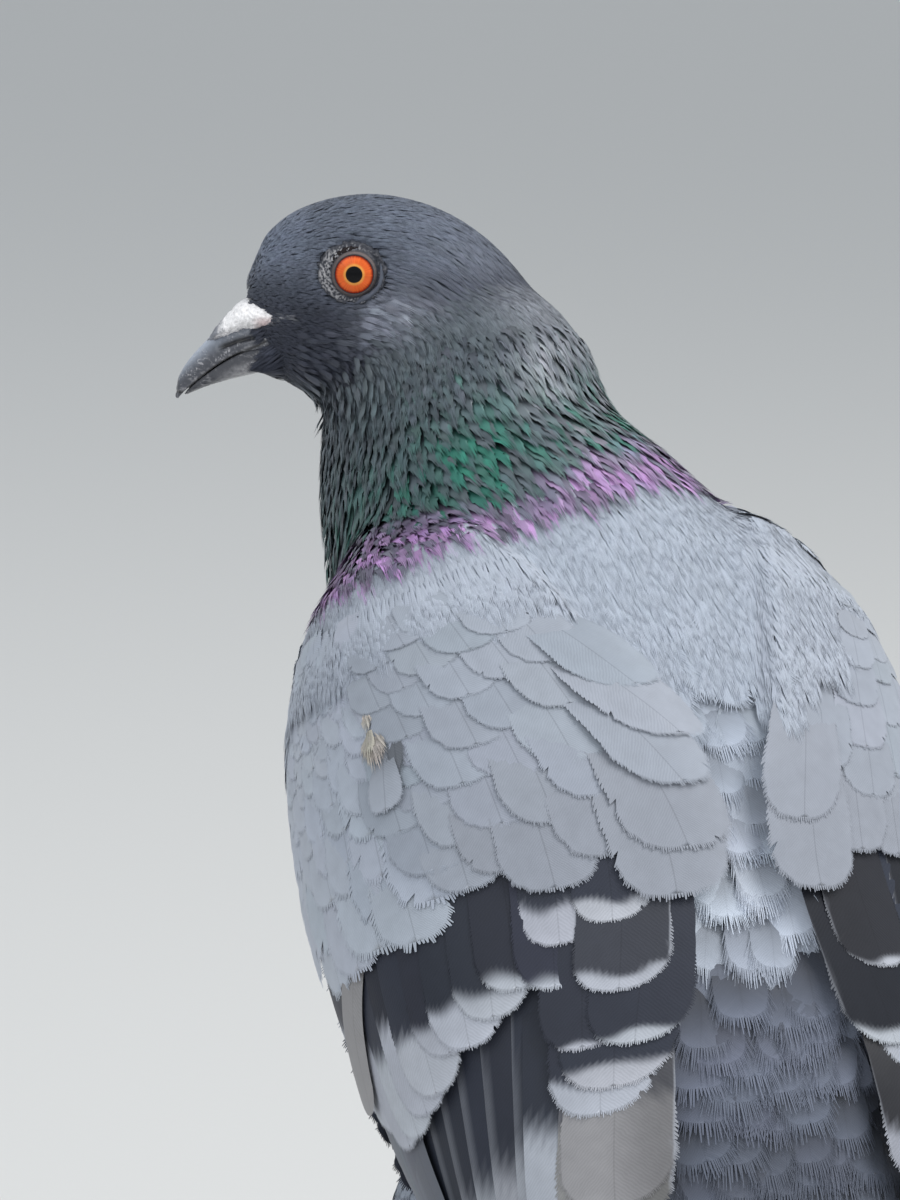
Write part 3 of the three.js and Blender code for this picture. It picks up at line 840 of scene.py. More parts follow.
class Surface:
    """The outer surface of the plumage, on which feathers are scattered and laid."""

    def __init__(self, verts, normals, tris, tree):
        self.verts, self.normals, self.tris, self.tree = verts, normals, tris, tree

    def nearest(self, points):
        found, normal = np.empty_like(points), np.empty_like(points)
        for k, p in enumerate(points):
            place, _, face, _ = self.tree.find_nearest(Vector(p))
            found[k] = place
            normal[k] = self.normals[self.tris[face]].mean(0)
        return found, unit(normal)

    def scatter(self, wanted, keep, spacing, stretch=1.0):
        """Points spread evenly at random over the surface, at least spacing(point) apart.

        stretch is how many times further apart they stand along the lie of the coat than across it.
        """
        a, b, c = (self.verts[self.tris[:, k]] for k in range(3))
        area = np.linalg.norm(np.cross(b - a, c - a), axis=1) / 2
        middle = (a + b + c) / 3
        area = area * keep(middle, self.normals[self.tris[:, 0]])
        gap = spacing(middle)
        chance = area / gap**2 / stretch
        count = int(wanted * chance.sum())
        pick = rng.choice(len(area), count, p=chance / chance.sum())
        u, v = rng.random((2, count))
        flip = u + v > 1
        u, v = np.where(flip, 1 - u, u), np.where(flip, 1 - v, v)
        points = a[pick] + (b - a)[pick] * u[:, None] + (c - a)[pick] * v[:, None]
        reach = gap[pick]
        off, left, over, station = unwrapped(points)
        flat = np.stack([(off * left).sum(1), (off * over).sum(1), station / stretch], -1)
        tree = KDTree(count)
        for k, p in enumerate(flat):
            tree.insert(Vector(p), k)
        tree.balance()
        alive = np.ones(count, bool)
        chosen = []
        for k in range(count):
            if not alive[k]:
                continue
            chosen.append(k)
            for _, other, _ in tree.find_range(Vector(flat[k]), reach[k]):
                alive[other] = False
        normal = unit(self.normals[self.tris[pick]].mean(1))
        return points[chosen], normal[chosen]

    def lay(self, roots, normals, way, length, width, knots):
        """Feather shafts that start at roots and follow the surface along the lie of the coat."""
        place, up = roots.copy(), normals.copy()
        line, ups = [place], [up]
        turn = rng.normal(0, 0.09, len(roots))
        for _ in range(knots - 1):
            heading = way(place)
            heading = unit(heading - up * (heading * up).sum(1, keepdims=True))
            heading = unit(heading + np.cross(up, heading) * turn[:, None])
            place, up = self.nearest(place + heading * (length / (knots - 1))[:, None])
            line.append(place)
            ups.append(up)
        shaft, up = np.stack(line, 1), np.stack(ups, 1)
        if np.mean(width) < 1.2:
            return BodyBed(shaft, up, width)
        aside = unit(np.cross(unit(np.gradient(shaft, axis=1)), up))
        drop = []
        for hand in (-1, 1):
            reach = shaft + aside * (hand * 0.8 * width)[:, None, None]
            under, _ = self.nearest(reach.reshape(-1, 3))
            fall = ((shaft - under.reshape(shaft.shape)) * up).sum(-1) / 0.64
            drop.append(np.clip(fall, -0.1 * width[:, None], 0.8 * width[:, None]))
        return BodyBed(shaft, up, width, np.stack(drop, -1))


def unwrapped(points):
    """Each point's offset from the guide, the guide's left and upper sides there, and its station."""
    gap = ((points[:, None] - GUIDE[None])**2).sum(-1)
    near = gap.argmin(1)
    off = points - GUIDE[near]
    way = GUIDE_WAY[near]
    left = unit(np.cross(way, np.cross(np.array([1.0, 0, 0]), way)))
    return off, left, np.cross(way, left), GUIDE_S[near] + (off * way).sum(1)


def body_chart(points):
    """The unwrap of the body: station along the guide by the angle round it."""
    off, left, over, station = unwrapped(points)
    angle = np.arctan2((off * left).sum(1), (off * over).sum(1))
    span = GUIDE_S[-1] - GUIDE_S[0]
    round_body, along_body = angle / (2 * math.pi) + 0.5, station - GUIDE_S[0]
    return np.stack([0.03 + 0.94 * round_body, 0.03 + 0.94 * along_body / span], -1)


# ---------------- wing tracts
def wing_chart(s, t):
    s, t = np.broadcast_arrays(np.asarray(s, float), np.clip(t, 0, 1))
    return np.stack([0.04 + 0.92 * t, 0.03 + 0.94 * (s + 20) / 265], -1)


def vary(colour, count, spread=0.05):
    """The colour once per feather, each a little lighter, darker, warmer or cooler."""
    shade = 1 + rng.normal(0, spread, (count, 1))
    hue = 1 + rng.normal(0, spread * 0.25, (count, 3))
    return np.broadcast_to(colour, (count, 3)) * shade * hue


def shaded(colour, base=0.8, tip=1.1, edge=0.0, dim=0.0):
    """A painter: darker at the root up to dim, as painted shade, and paler at the tip and along the edge."""
    # The root's shade is painted; the paler tip and edge are partly own tone, partly painted light.
    def paint(along, across):
        tone = base + (1 - base) * smooth((along - dim) / 0.7) + (tip - 1) * smooth((along - 0.75) / 0.25)
        tone = tone + edge * smooth((np.abs(across) - 0.6) / 0.4) * smooth(along / 0.5)
        return colour[:, None] * tone[None, :, None]
    return paint


def forms(count, seed, *steps, **shape):
    """Forms of one kind that differ by chance. steps are the steps down a side and across, and the barbs."""
    return [Form(*steps, seed=seed + k, **shape) for k in range(count)]


COVERT_FORMS = forms(8, 10, 12, 2, 3, widest=0.7, base=0.6, power=2.9, slant=0.16, fringe=0.055, fill=0.93,
                     blunt=0.5, ragged=0.8, crack=0.03, ripple=0.012, aspect=3.4)
SCAPULAR_FORMS = forms(8, 20, 26, 4, 3, widest=0.74, base=0.62, power=2.7, slant=0.14, fringe=0.03,
                       fill=0.93, blunt=0.5, ragged=0.6, crack=0.02, ripple=0.008, aspect=3.2)
BAR_FORMS = forms(6, 40, 40, 8, 3, widest=0.84, base=0.8, power=2.3, slant=0.1, fringe=0.016, fill=0.88,
                  blunt=0.5, tip=0.5, ragged=0.3, crack=0.01, ripple=0.01, aspect=6.0, loose=0.7)
QUILL_FORMS = forms(2, 60, 46, 5, 2, widest=0.86, base=0.85, power=2.1, slant=0.07, fringe=0.004, fill=0.9,
                    tip=0.4, ragged=0.1, crack=0.0, start=0.02, lean=0.25, ripple=0.004, aspect=10.0,
                    loose=0.8)
MANTLE_FORMS = forms(5, 70, 8, 1, 3, widest=0.6, base=0.4, power=1.9, slant=0.22, fringe=0.16, fill=0.8,
                     blunt=0.3, ragged=0.6, crack=0.0, ripple=0.015, aspect=3.5)
RUMP_FORMS = forms(8, 80, 20, 1, 2, widest=0.66, base=0.55, power=2.8, slant=0.22, fringe=0.22, fill=0.8,
                   blunt=0.45, tip=0.8, ragged=0.5, crack=0.0, ripple=0.03, aspect=2.6, loose=0.42, fan=0.35)
BODY_FORMS = forms(5, 90, 8, 1, 2, widest=0.64, base=0.45, power=2.0, slant=0.25, fringe=0.13, fill=0.8,
                   blunt=0.4, ragged=0.6, ripple=0.03, aspect=3.3)
HACKLES = [Lock(7, k, rows=(0.0, 0.3, 0.62), gather=0.25, taper=0.5, relief=0.035, vault=0.12)
           for k in range(8)]
EAR_TUFTS = [Lock(4, k + 80, rows=(0.0, 0.5), gather=-0.1, taper=0.5, relief=0.05, vault=0.05)
             for k in range(6)]
BEARD = [Lock(5, k + 20, rows=(0.0, 0.4, 0.65), gather=0.15, taper=0.3, relief=0.05, vault=0.1)
         for k in range(5)]
DOWN = [Lock(11, k + 40, rows=(0.0, 0.3, 0.5), gather=0.0, taper=0.5, relief=0.15, vault=0.15)
        for k in range(3)]
WISPS = [Lock(3, k + 60, relief=0.016, vault=0.025) for k in range(8)]

# By t across the wing: where the median and the greater coverts end, and where the bar turns to pale tips.
MEDIAN_EDGE = [[0.0, 54], [0.12, 54], [0.2, 54.5], [0.28, 54.5], [0.38, 58.5], [0.48, 61.5], [0.58, 63.5],
               [0.73, 63.5], [0.85, 59], [1.0, 52]]
GREATER_EDGE = [[0.0, 69], [0.15, 69], [0.2, 71.5], [0.28, 73], [0.35, 75.5], [0.43, 79], [0.53, 82.5],
                [0.65, 87.5], [0.8, 84], [1.0, 74]]
BAR_EDGE = [[0.0, 67], [0.2, 70.5], [0.28, 71.5], [0.4, 71.5], [0.5, 73.5], [0.58, 73], [0.8, 71], [1.0, 64]]
# The station to which the mantle's soft ends reach, by the place across the left wing and the right.
SOFT_T = [0, 0.08, 0.2, 0.4, 0.6, 0.8]
SOFT_LEFT = [20, 18, 16, 14, 9, 4]
SOFT_RIGHT = [36, 32, 21, 14, 9, 4]
# The rows of the map that the patterned feathers take up.
BAKE_ROWS = {"greater": (0.02, 0.16), "inner": (0.17, 0.32), "second": (0.33, 0.57), "prime": (0.58, 0.86),
             "edge": (0.87, 0.98)}


def bake_row(row, k, count):
    """A patterned feather's own place in the map: one row for each tract, side by side along it."""
    low, high = BAKE_ROWS[row]
    return np.array([[(k + 0.5) / count, (low + high) / 2]]), (0.8 / count, 0.9 * (high - low))


def small_coverts(wing, side):
    """Lesser and median coverts: staggered rows of pale scales, larger down the wing."""
    tip, row = SMALL_COVERTS_FROM, 0
    while tip < SMALL_COVERTS_TO:
        size = float(np.interp(tip, [9, 25, 45, 60], [4.4, 6.4, 9.6, 12.0]))
        count = int(SMALL_COVERTS_ACROSS / (size * 0.74))
        t = (np.arange(count) + (row % 2) * 0.5 + rng.normal(0, 0.14, count)) / count
        t = t[(t > 0.02) & (t < 0.955)]
        edge = lookup(MEDIAN_EDGE, t)[:, 0]
        t, edge = t[tip < edge + 2.5], edge[tip < edge + 2.5]
        tips = np.minimum(tip + rng.normal(0, 0.07 * size, len(t)), edge + rng.normal(0, 0.6, len(t)))
        soft_end = np.interp(t, SOFT_T, SOFT_LEFT if side > 0 else SOFT_RIGHT)
        bare = (t > 0.33) | ((tips > 44) & (t > 0.22))
        shown = (collar(wing_point(side, tips, t)) < -1.0) & bare & (tips > soft_end + 2.5)
        t, tips = t[shown], tips[shown]
        bed = WingBed(side, tips, t, size * 1.9 + rng.normal(0, 0.4, len(t)), rng.normal(0, 0.006, len(t)))
        half = np.minimum(size * 0.54 * (1 + rng.normal(0, 0.05, len(t))), (1.0 - t) * 80)
        which = rng.integers(0, len(COVERT_FORMS), len(t))
        for k, form in enumerate(COVERT_FORMS):
            chosen = which == k
            count = int(chosen.sum())
            colour = vary(blend(COVERT, MANTLE, rng.random(count) * 0.5), count, 0.03)
            wing.add(form, bed.pick(chosen), half[chosen], 1.2, 0.6, shaded(colour, 0.86, 1.07, 0.05),
                     bed.pick(chosen).chart(), lift=-0.45, roll=0.025, tilt=0.035 * side, curl=0.12)
        tip, row = tip + 0.52 * size, row + 1


def barred(bed, base, end, split, width=2.4, curve=0.4, rim=0.1):
    """A painter that changes from one colour to the other past a station, as the dark wing bars do."""
    def paint(along, across):
        station = bed.station(along) + curve * np.abs(across)[None]**2
        rough = 0.5 * np.sin(across * 4 + split[:, None] * 7) + 0.2 * np.sin(along * 60 + across * 5)
        share = smooth((station + rough - split[:, None]) / width + 0.5)
        colour = blend(base[:, None], end[:, None], share)
        return colour * (1 + rim * smooth((along - 0.93) / 0.07))[None, :, None]
    return paint


def greater_coverts(wing, side):
    """The row whose dark roots make the first wing bar and whose pale tips edge it."""
    count = 13
    t = np.linspace(0.21, 0.96, count) + rng.normal(0, 0.006, count)
    tips = lookup(GREATER_EDGE, t)[:, 0] + rng.normal(0, 0.8, count)
    split = lookup(BAR_EDGE, t)[:, 0] + rng.normal(0, 1.0, count)
    bed = WingBed(side, tips, t, 44.0, 0.02)
    for k in range(count):
        one = bed.pick([k])
        place, patch = bake_row("greater", k, count)
        half = min(6.0, 0.8 + (0.995 - t[k]) * 85)
        wing.add(BAR_FORMS[k % len(BAR_FORMS)], one, half, 2.0, 0.5,
                 barred(one, vary(BAR, 1, 0.08), vary(BAR_TIP, 1, 0.03), split[[k]]), place,
                 roll=0.0, tilt=0.045 * side, lift=-0.75 - 0.045 * k, curl=0.1, camber=0.12, patch=patch)


# Broad inner feathers by wing: t, tip, length, half width, pale end, brown wash, pale rim. Lowest first.
INNER_FEATHERS = {
    1: [
        (0.2, 120, 60, 9.0, 27.0, 0.0, 0.3), (0.125, 110, 50, 8.6, 16.0, 1.0, 1.0),
        (0.115, 106, 50, 8.6, 15.0, 0.9, 1.0), (0.14, 92.0, 48, 8.0, 4.4, 0.0, 0.0),
        (0.115, 88.5, 46, 8.6, 3.0, 0.0, 0.0), (0.17, 82.0, 44, 6.6, 0.2, 0.0, 0.0),
        (0.08, 82.5, 42, 7.8, 1.4, 0.0, 0.0), (0.2, 66.5, 34, 5.6, 5.0, 0.0, 0.0),
        (0.11, 74.5, 36, 7.2, 2.0, 0.25, 1.0), (0.12, 64.5, 32, 6.0, 2.6, 0.0, 0.0),
    ],
    -1: [
        (0.2, 118, 60, 8.6, 20.0, 0.0, 0.3), (0.1, 109, 50, 8.4, 9.0, 0.6, 0.5),
        (0.13, 90.0, 48, 7.8, 3.0, 0.0, 0.0), (0.07, 86.0, 46, 8.0, 2.0, 0.0, 0.4),
        (0.17, 80.0, 44, 6.6, 0.2, 0.0, 0.3), (0.1, 74.0, 36, 7.4, 0.8, 0.3, 0.4),
        (0.24, 70.0, 34, 6.0, 0.8, 0.1, 0.4),
    ],
}


def tertials(wing, side):
    """Broad inner feathers, dark with narrow pale ends, stepping down beside the rump."""
    rows = INNER_FEATHERS[side]
    for k, (t, tip, length, half, pale, brown, rim) in enumerate(rows):
        bed = WingBed(side, tip, t, length, 0.01)
        # Painted shade: the right wing's inner feathers are darkened.
        washed = blend(BAR, BAR_BROWN, np.array([brown])) * (1.0 if side > 0 else RIGHT_INNER_SHADE)
        end = blend(BAR_TIP * 0.95, PALE_BROWN, np.array([brown * (pale > 10)]))
        dark, light = vary(washed, 1, 0.04), vary(end, 1, 0.03)
        plain = barred(bed, dark, light, np.array([tip - pale]), 1.0 + 0.12 * pale, 0.7)

        def paint(along, across, plain=plain, brown=brown, rim=rim):
            inner = across[None] * -side
            warm = brown * smooth((inner + 0.2) / 0.9) * smooth((0.75 - along[None]) / 0.4)
            tone = blend(plain(along, across), (PALE_BROWN * 0.7)[None, None], 0.5 * warm)
            tone = tone * (1 - 0.45 * brown * smooth((inner + 0.4) / 1.2))[..., None]
            edge = rim * smooth((inner - 0.93) / 0.05) * smooth((along[None] - 0.4) / 0.2)
            return blend(tone, BAR_TIP[None, None] * 0.85, 0.8 * edge)
        place, patch = bake_row("inner", k, len(rows))
        wing.add(BAR_FORMS[k % len(BAR_FORMS)], bed, half, 2.2, 0.3, paint, place, roll=0.0,
                 tilt=0.015 * side, lift=-1.3 + 0.14 * k, curl=0.12, camber=0.2, patch=patch)


def pale_rim(along, across, side, outer):
    """How pale a flight feather's rim is: as much as outer down its outer edge, and more round its tip."""
    rim = smooth((across[None] * side - 0.97) / 0.03) * outer + smooth((along[None] - 0.985) / 0.015) * 0.4
    return np.clip(rim, 0, 1)


def secondaries(wing, side):
    """Eleven flight feathers: dark where the coverts end, pale beyond, then the second bar."""
    count = 11
    for k in range(count):
        t = np.interp(k, [0, count - 1], [0.88, 0.2])
        tip = np.interp(k, [0, count - 1], [126, 150])
        bed = WingBed(side, tip, t, 78.0, 0.06)
        inner = float(smooth((k - 2.5) / 3))
        dark = vary(BAR, 1, 0.06)
        pale = vary(blend(FLIGHT, BAR_TIP * 0.9, np.array([inner])), 1, 0.05)
        first, second = 91.5 + (t - 0.2) * 26, tip - 26.0

        def paint(along, across):
            station = bed.station(along)
            share = smooth((station + 1.5 * across[None]**2 - first) / 6)
            share = share * (1 - smooth((station - second) / 3))
            colour = blend(dark[:, None], pale[:, None], share)
            return blend(colour, BAR_TIP[None, None] * 0.7, pale_rim(along, across, side, 0.3))
        place, patch = bake_row("second", k, count)
        wing.add(QUILL_FORMS[k % 2], bed, 7.4, 1.0, 0.1, paint, place, camber=0.15, roll=0.0,
                 tilt=0.03 * side, lift=-2.7 + 0.11 * k, patch=patch)


def primaries(wing, side):
    """The long dark feathers that run on to the wing's tip, under the secondaries."""
    tips = [148, 156, 165, 175, 186, 198, 210, 221, 229, 233]
    for k, tip in enumerate(tips):
        t = np.interp(k, [0, 9], [0.78, 0.45])
        bed = WingBed(side, tip, t, float(np.interp(k, [0, 9], [84, 118])), -0.12)
        colour = vary(blend(FLIGHT, BAR, np.array([0.35 + 0.05 * k])), 1, 0.05)

        def paint(along, across):
            tone = 0.85 + 0.25 * smooth((0.5 - np.abs(across)[None]) / 0.5)
            shade = colour[:, None] * tone[..., None]
            return blend(shade, BAR_TIP[None, None] * 0.6, pale_rim(along, across, side, 0.25))
        width = float(np.interp(k, [0, 9], [7.4, 6.4]))
        place, patch = bake_row("prime", k, len(tips))
        wing.add(QUILL_FORMS[k % 2], bed, width, 0.6, 0.0, paint, place, camber=0.1, roll=0.005,
                 lift=-3.6 + 0.09 * k, patch=patch)


def primary_coverts(wing, side):
    """Bluish feathers along the wing's lower edge, over the roots of the primaries."""
    count = 8
    for k in range(count):
        t = np.interp(k, [0, count - 1], [0.935, 0.72])
        tip = np.interp(k, [0, count - 1], [84, 112])
        bed = WingBed(side, tip, t, 46.0, 0.03)
        colour = vary(blend(COVERT * 0.5, FLIGHT, np.array([0.6])), 1, 0.05)
        place, patch = bake_row("edge", k, count + 1)
        half = min(4.4, 0.4 + (0.99 - t) * 90)
        wing.add(QUILL_FORMS[k % 2], bed, half, 1.4, 0.2, shaded(colour, 0.8, 1.2, 0.2), place, camber=0.1,
                 roll=0.0, tilt=0.03 * side, lift=-1.7 + 0.05 * k, patch=patch)


def stray_feathers(wing, side):
    """A pale covert that lies askew across the left wing's bar."""
    if side < 0:
        return
    bed = WingBed(side, 80.5, 0.84, 25.0, 0.22)
    place, patch = bake_row("edge", 8, 9)

    def paint(along, across):
        edge = smooth((-across[None] - 0.86) / 0.1) * 0.8
        tone = PALE_BROWN * (0.95 + 0.25 * along[None, :, None])
        return blend(tone, np.array([0.5, 0.5, 0.52])[None, None], edge)
    wing.add(QUILL_FORMS[1], bed, 4.2, 1.0, 0.3, paint, place, camber=0.2, roll=0.0, tilt=0.12, lift=0.15,
             patch=patch)


# Station, place across, half width, length, lift and turn of the locks of down that show on the left wing.
DOWN_LOCKS = [(30.2, 0.446, 0.9, 4.2, 0.45, 0.0), (31.0, 0.454, 1.0, 4.4, 0.5, 0.006),
              (34.9, 0.484, 1.1, 5.0, 0.7, 0.036), (36.2, 0.472, 1.3, 6.0, 0.8, 0.024),
              (37.2, 0.458, 1.4, 6.8, 0.95, 0.01), (37.0, 0.443, 1.4, 6.6, 0.9, -0.005),
              (36.2, 0.430, 1.3, 6.0, 0.85, -0.018), (35.0, 0.418, 1.1, 5.0, 0.75, -0.03),
              (35.8, 0.465, 1.2, 5.6, 1.15, 0.015), (36.0, 0.437, 1.2, 5.6, 1.1, -0.013)]


def tuft(wing, side):
    """Beige down that has worked out between the coverts of the left wing, over a crooked grey covert."""
    if side < 0:
        return
    # The first, dark and small, stands in for the shadow in the gap by the down: painted shade.
    for form, tip, t, half, tone, lift in ((MANTLE_FORMS[1], 37.6, 0.412, 1.2, 0.3, 0.3),
                                           (COVERT_FORMS[1], 42.5, 0.454, 3.0, 0.85, 0.7)):
        bed = WingBed(side, tip, t, 9.0, 0.02)
        colour = shaded(vary(COVERT * tone, 1, 0.02), 0.6, 1.1)
        wing.add(form, bed, half, 0.4, 0.4, colour, bed.chart(), lift=lift)
    for k, (s, t, half, length, lift, turn) in enumerate(DOWN_LOCKS):
        bed = WingBed(side, s, t, length, turn)
        colour = vary(DOWN_BEIGE, 1, 0.06)
        wing.add(DOWN[k % 3], bed, half, 0.5, 0.3, shaded(colour, 0.8, 1.1), bed.chart(), lift=lift,
                 roll=0.1)


# Scapulars of the left wing (1) and the right (-1): t, tip, length, half width. The first lie lowest.
SCAPULARS = {
    1: [
        (0.33, 57.0, 22, 6.2), (0.19, 59.0, 26, 7.2), (0.03, 63.0, 32, 9.0), (0.26, 55.0, 22, 6.4),
        (0.11, 56.0, 24, 7.4), (0.39, 52.0, 20, 5.8), (0.32, 50.5, 20, 6.2), (0.018, 55.0, 26, 8.2),
        (0.18, 50.5, 22, 6.8), (0.25, 48.5, 20, 6.4), (0.1, 48.0, 22, 7.0), (0.43, 46.0, 18, 5.6),
        (0.36, 45.0, 18, 5.8), (-0.005, 47.5, 22, 7.2), (0.29, 43.0, 19, 6.0), (0.2, 42.5, 19, 6.4),
        (0.12, 41.5, 19, 6.6), (0.41, 39.5, 17, 5.2), (-0.015, 40.5, 19, 6.6), (0.34, 38.0, 17, 5.4),
        (0.26, 37.0, 17, 5.6), (0.18, 36.0, 17, 5.8), (0.1, 35.0, 17, 6.0), (0.38, 33.0, 15, 4.8),
        (0.0, 34.0, 17, 6.2), (0.31, 31.5, 15, 5.0), (0.23, 30.5, 15, 5.2), (0.15, 29.5, 15, 5.4),
        (0.08, 28.5, 14, 5.4), (0.41, 28.0, 13, 4.4), (0.35, 26.5, 13, 4.4), (0.28, 25.5, 13, 4.6),
        (0.2, 24.5, 13, 4.8), (0.12, 23.5, 12, 4.8), (0.38, 21.5, 11, 4.0), (0.31, 20.5, 11, 4.0),
        (0.23, 19.5, 11, 4.2),
    ],
    -1: [
        (0.3, 57.0, 22, 6.0), (0.2, 57.5, 24, 6.4), (0.025, 62.5, 30, 7.8), (0.115, 57.0, 24, 6.4),
        (0.38, 52.5, 19, 5.6), (0.25, 52.0, 21, 6.0), (0.018, 53.0, 26, 7.2), (0.155, 50.5, 20, 6.2),
        (0.33, 48.0, 18, 5.6), (0.07, 47.0, 20, 6.4), (0.42, 45.0, 17, 5.2), (0.23, 45.5, 19, 6.0),
        (0.3, 42.0, 17, 5.6), (0.16, 42.0, 18, 6.0), (0.39, 39.0, 16, 5.0), (0.24, 38.0, 16, 5.4),
        (0.33, 35.0, 15, 5.0), (0.17, 35.5, 16, 5.4), (0.42, 33.0, 14, 4.6), (0.26, 31.5, 14, 4.8),
        (0.19, 29.5, 14, 5.0), (0.35, 28.5, 13, 4.4), (0.28, 26.0, 12, 4.4), (0.21, 24.0, 12, 4.4),
        (0.39, 24.0, 11, 4.0), (0.3, 21.0, 11, 4.0), (0.22, 18.5, 10, 4.0),
    ],
}


def scapulars(wing, side, surface):
    """Large smooth shingles over the inner wing, the innermost lying over the back."""
    for k, (t, tip, length, half) in enumerate(SCAPULARS[side]):
        past = max(0.0, 0.035 - t)
        bed = WingBed(side, tip + rng.normal(0, 0.5), t + rng.normal(0, 0.004), length, -0.02 - 1.6 * past,
                      surface)
        low = smooth((tip - 44) / 12) if t < 0.3 else 0.0
        colour = vary(blend(MANTLE, COVERT, np.array([0.3 + 0.5 * rng.random()])), 1, 0.025) * SCAPULAR_SHADE
        colour = blend(colour, SCAPULAR_END * SCAPULAR_END_SHADE, np.array([0.8 * low]))
        half = half * rng.uniform(0.95, 1.07)
        wing.add(SCAPULAR_FORMS[k % len(SCAPULAR_FORMS)], bed, half, 1.8, 0.75,
                 shaded(colour, 0.86, 1.04, 0.05), bed.chart(), roll=0.008, tilt=0.026 * side,
                 lift=-0.25 + 0.04 * (k % 3) + 14 * past, curl=0.14, patch=0.01)


def build_wing(surface, side, word):
    """One folded wing: the coverts and scapulars in one piece, and the large feathers in another."""
    coverts = Tract(f"wing_coverts_{word}", "body_feathers", PLUMAGE)
    small_coverts(coverts, side)
    scapulars(coverts, side, surface)
    tuft(coverts, side)
    coverts.build()
    flight = Tract(f"wing_quills_{word}", "flight_feathers", QUILL_GLOSS)
    greater_coverts(flight, side)
    tertials(flight, side)
    secondaries(flight, side)
    primaries(flight, side)
    primary_coverts(flight, side)
    stray_feathers(flight, side)
    flight.build(f"wing_secondaries_{word}", f"wing_primaries_{word}")


# ---------------- body, neck and head tracts
class WingCover:
    """Finds how far points are from the wings, and the station and place across of the nearest spot."""

    def __init__(self):
        s, t = np.meshgrid(np.arange(-9, 92, 2.0), np.linspace(0, 1, 40), indexing="ij")
        self.s, self.t = np.tile(s.ravel(), 2), np.tile(t.ravel(), 2)
        points = np.vstack([wing_point(side, s.ravel(), t.ravel()) for side in (1, -1)])
        self.tree = KDTree(len(points))
        for k, p in enumerate(points):
            self.tree.insert(Vector(p), k)
        self.tree.balance()

    def find(self, points):
        hits = [self.tree.find(Vector(p)) for p in points]
        near = np.array([hit[1] for hit in hits], int)
        return np.array([hit[2] for hit in hits]), self.s[near], self.t[near]

    def clear(self, points, reach=2.2):
        gap, s, _ = self.find(points)
        return (gap > reach) | (s < 9)

    def soft(self, points):
        """Where the mantle's hair-like ends run on over the front and the inner edge of each wing."""
        gap, s, t = self.find(points)
        ends = np.where(points[:, 0] > 0, np.interp(t, SOFT_T, SOFT_LEFT), np.interp(t, SOFT_T, SOFT_RIGHT))
        return (gap < 3.5) & (s < ends + 3 * np.sin(t * 60))


def on_thigh(points):
    """Whether each point is on the feathered part of a leg."""
    a, b = THIGH_LINE[0], THIGH_LINE[-1]
    mirrored = points.copy()
    mirrored[:, 0] = np.abs(mirrored[:, 0])
    share = np.clip(((mirrored - a) @ (b - a)) / ((b - a) @ (b - a)), 0, 1)
    gap = np.linalg.norm(mirrored - (a + (b - a) * share[:, None]), axis=1)
    return (points[:, 2] < 96) & (gap < 22) & (points[:, 2] > 30) & (points[:, 1] < 12)


def thigh_way(points):
    """The lie of the plumage down the legs."""
    way = np.empty_like(points)
    way[:] = unit(THIGH_LINE[-1] - THIGH_LINE[0])
    way[:, 0] = -0.05 * np.sign(points[:, 0])
    return way


def coat_way(points):
    """The lie of the plumage at each point of the body."""
    way, _ = flow(points)
    down = on_thigh(points)
    way[down] = thigh_way(points[down])
    return way


def eye_gap(points):
    """How far out of the bare ring round each eye a point is, in shares of the ring's own radius."""
    f, up, out = in_head(points)
    return np.hypot((f + EYE_BACK - 0.4) / 5.3, (up - 0.1) / 4.6) + 10.0 * (np.abs(out) < 3)


def dress(tract, surface, roots, normals, length, width, forms, depth, rise, base, tip, spread, knots=4,
          bleach=0.0, curl=0.0, lift=0.0, seen=-1, mottle=0.0, dim=0.0):
    """Lays a feather at each root.

    depth and rise are how far its root lies under the surface and its tip over it, base and tip its tones
    there, spread the spread of tone among feathers, and seen the knot of the shaft whose place sets the
    colour.
    """
    lengths = length(roots) * (1 + rng.normal(0, 0.08, len(roots)))
    widths = width(roots) * (1 + rng.normal(0, 0.07, len(roots)))
    bed = surface.lay(roots, normals, coat_way, lengths, widths, knots)
    _, station = flow(bed.shaft[:, seen])
    colour = markings_and_sheen(bed.shaft[:, seen], station, rng.normal(0, 1.6, len(roots)))
    colour = colour * (1 + mottle * grain(roots, 2.6, 3.0))[:, None]
    colour = colour * (1 + rng.normal(0, spread, (len(roots), 1)))
    colour = colour * (1 + rng.normal(0, spread * 0.12, (len(roots), 3)))
    chart = body_chart(roots)
    lifts = lift(roots) if callable(lift) else np.full(len(roots), lift)
    which = rng.integers(0, len(forms), len(roots))
    for k, form in enumerate(forms):
        c = which == k
        tract.add(form, bed.pick(c), widths[c], depth, rise, shaded(colour[c], base, tip, bleach, dim),
                  chart[c], curl=curl, lift=lifts[c])


def spread_feathers(tract, surface, keep, spacing, *shape, stretch=1.0, **more):
    """Scatters feathers over the part of the body that keep picks out."""
    dress(tract, surface, *surface.scatter(TRIES, keep, spacing, stretch), *shape, **more)


def constant(value):
    return lambda points: np.full(len(points), float(value))


# Stations where the rump's rows begin and end, and how far its rows and its feathers stand apart.
RUMP_START, RUMP_END, RUMP_ROW, RUMP_PITCH = 32.0, 146.0, 4.7, 5.4
# The station where the mantle's own feathers end.
MANTLE_END = 30.0


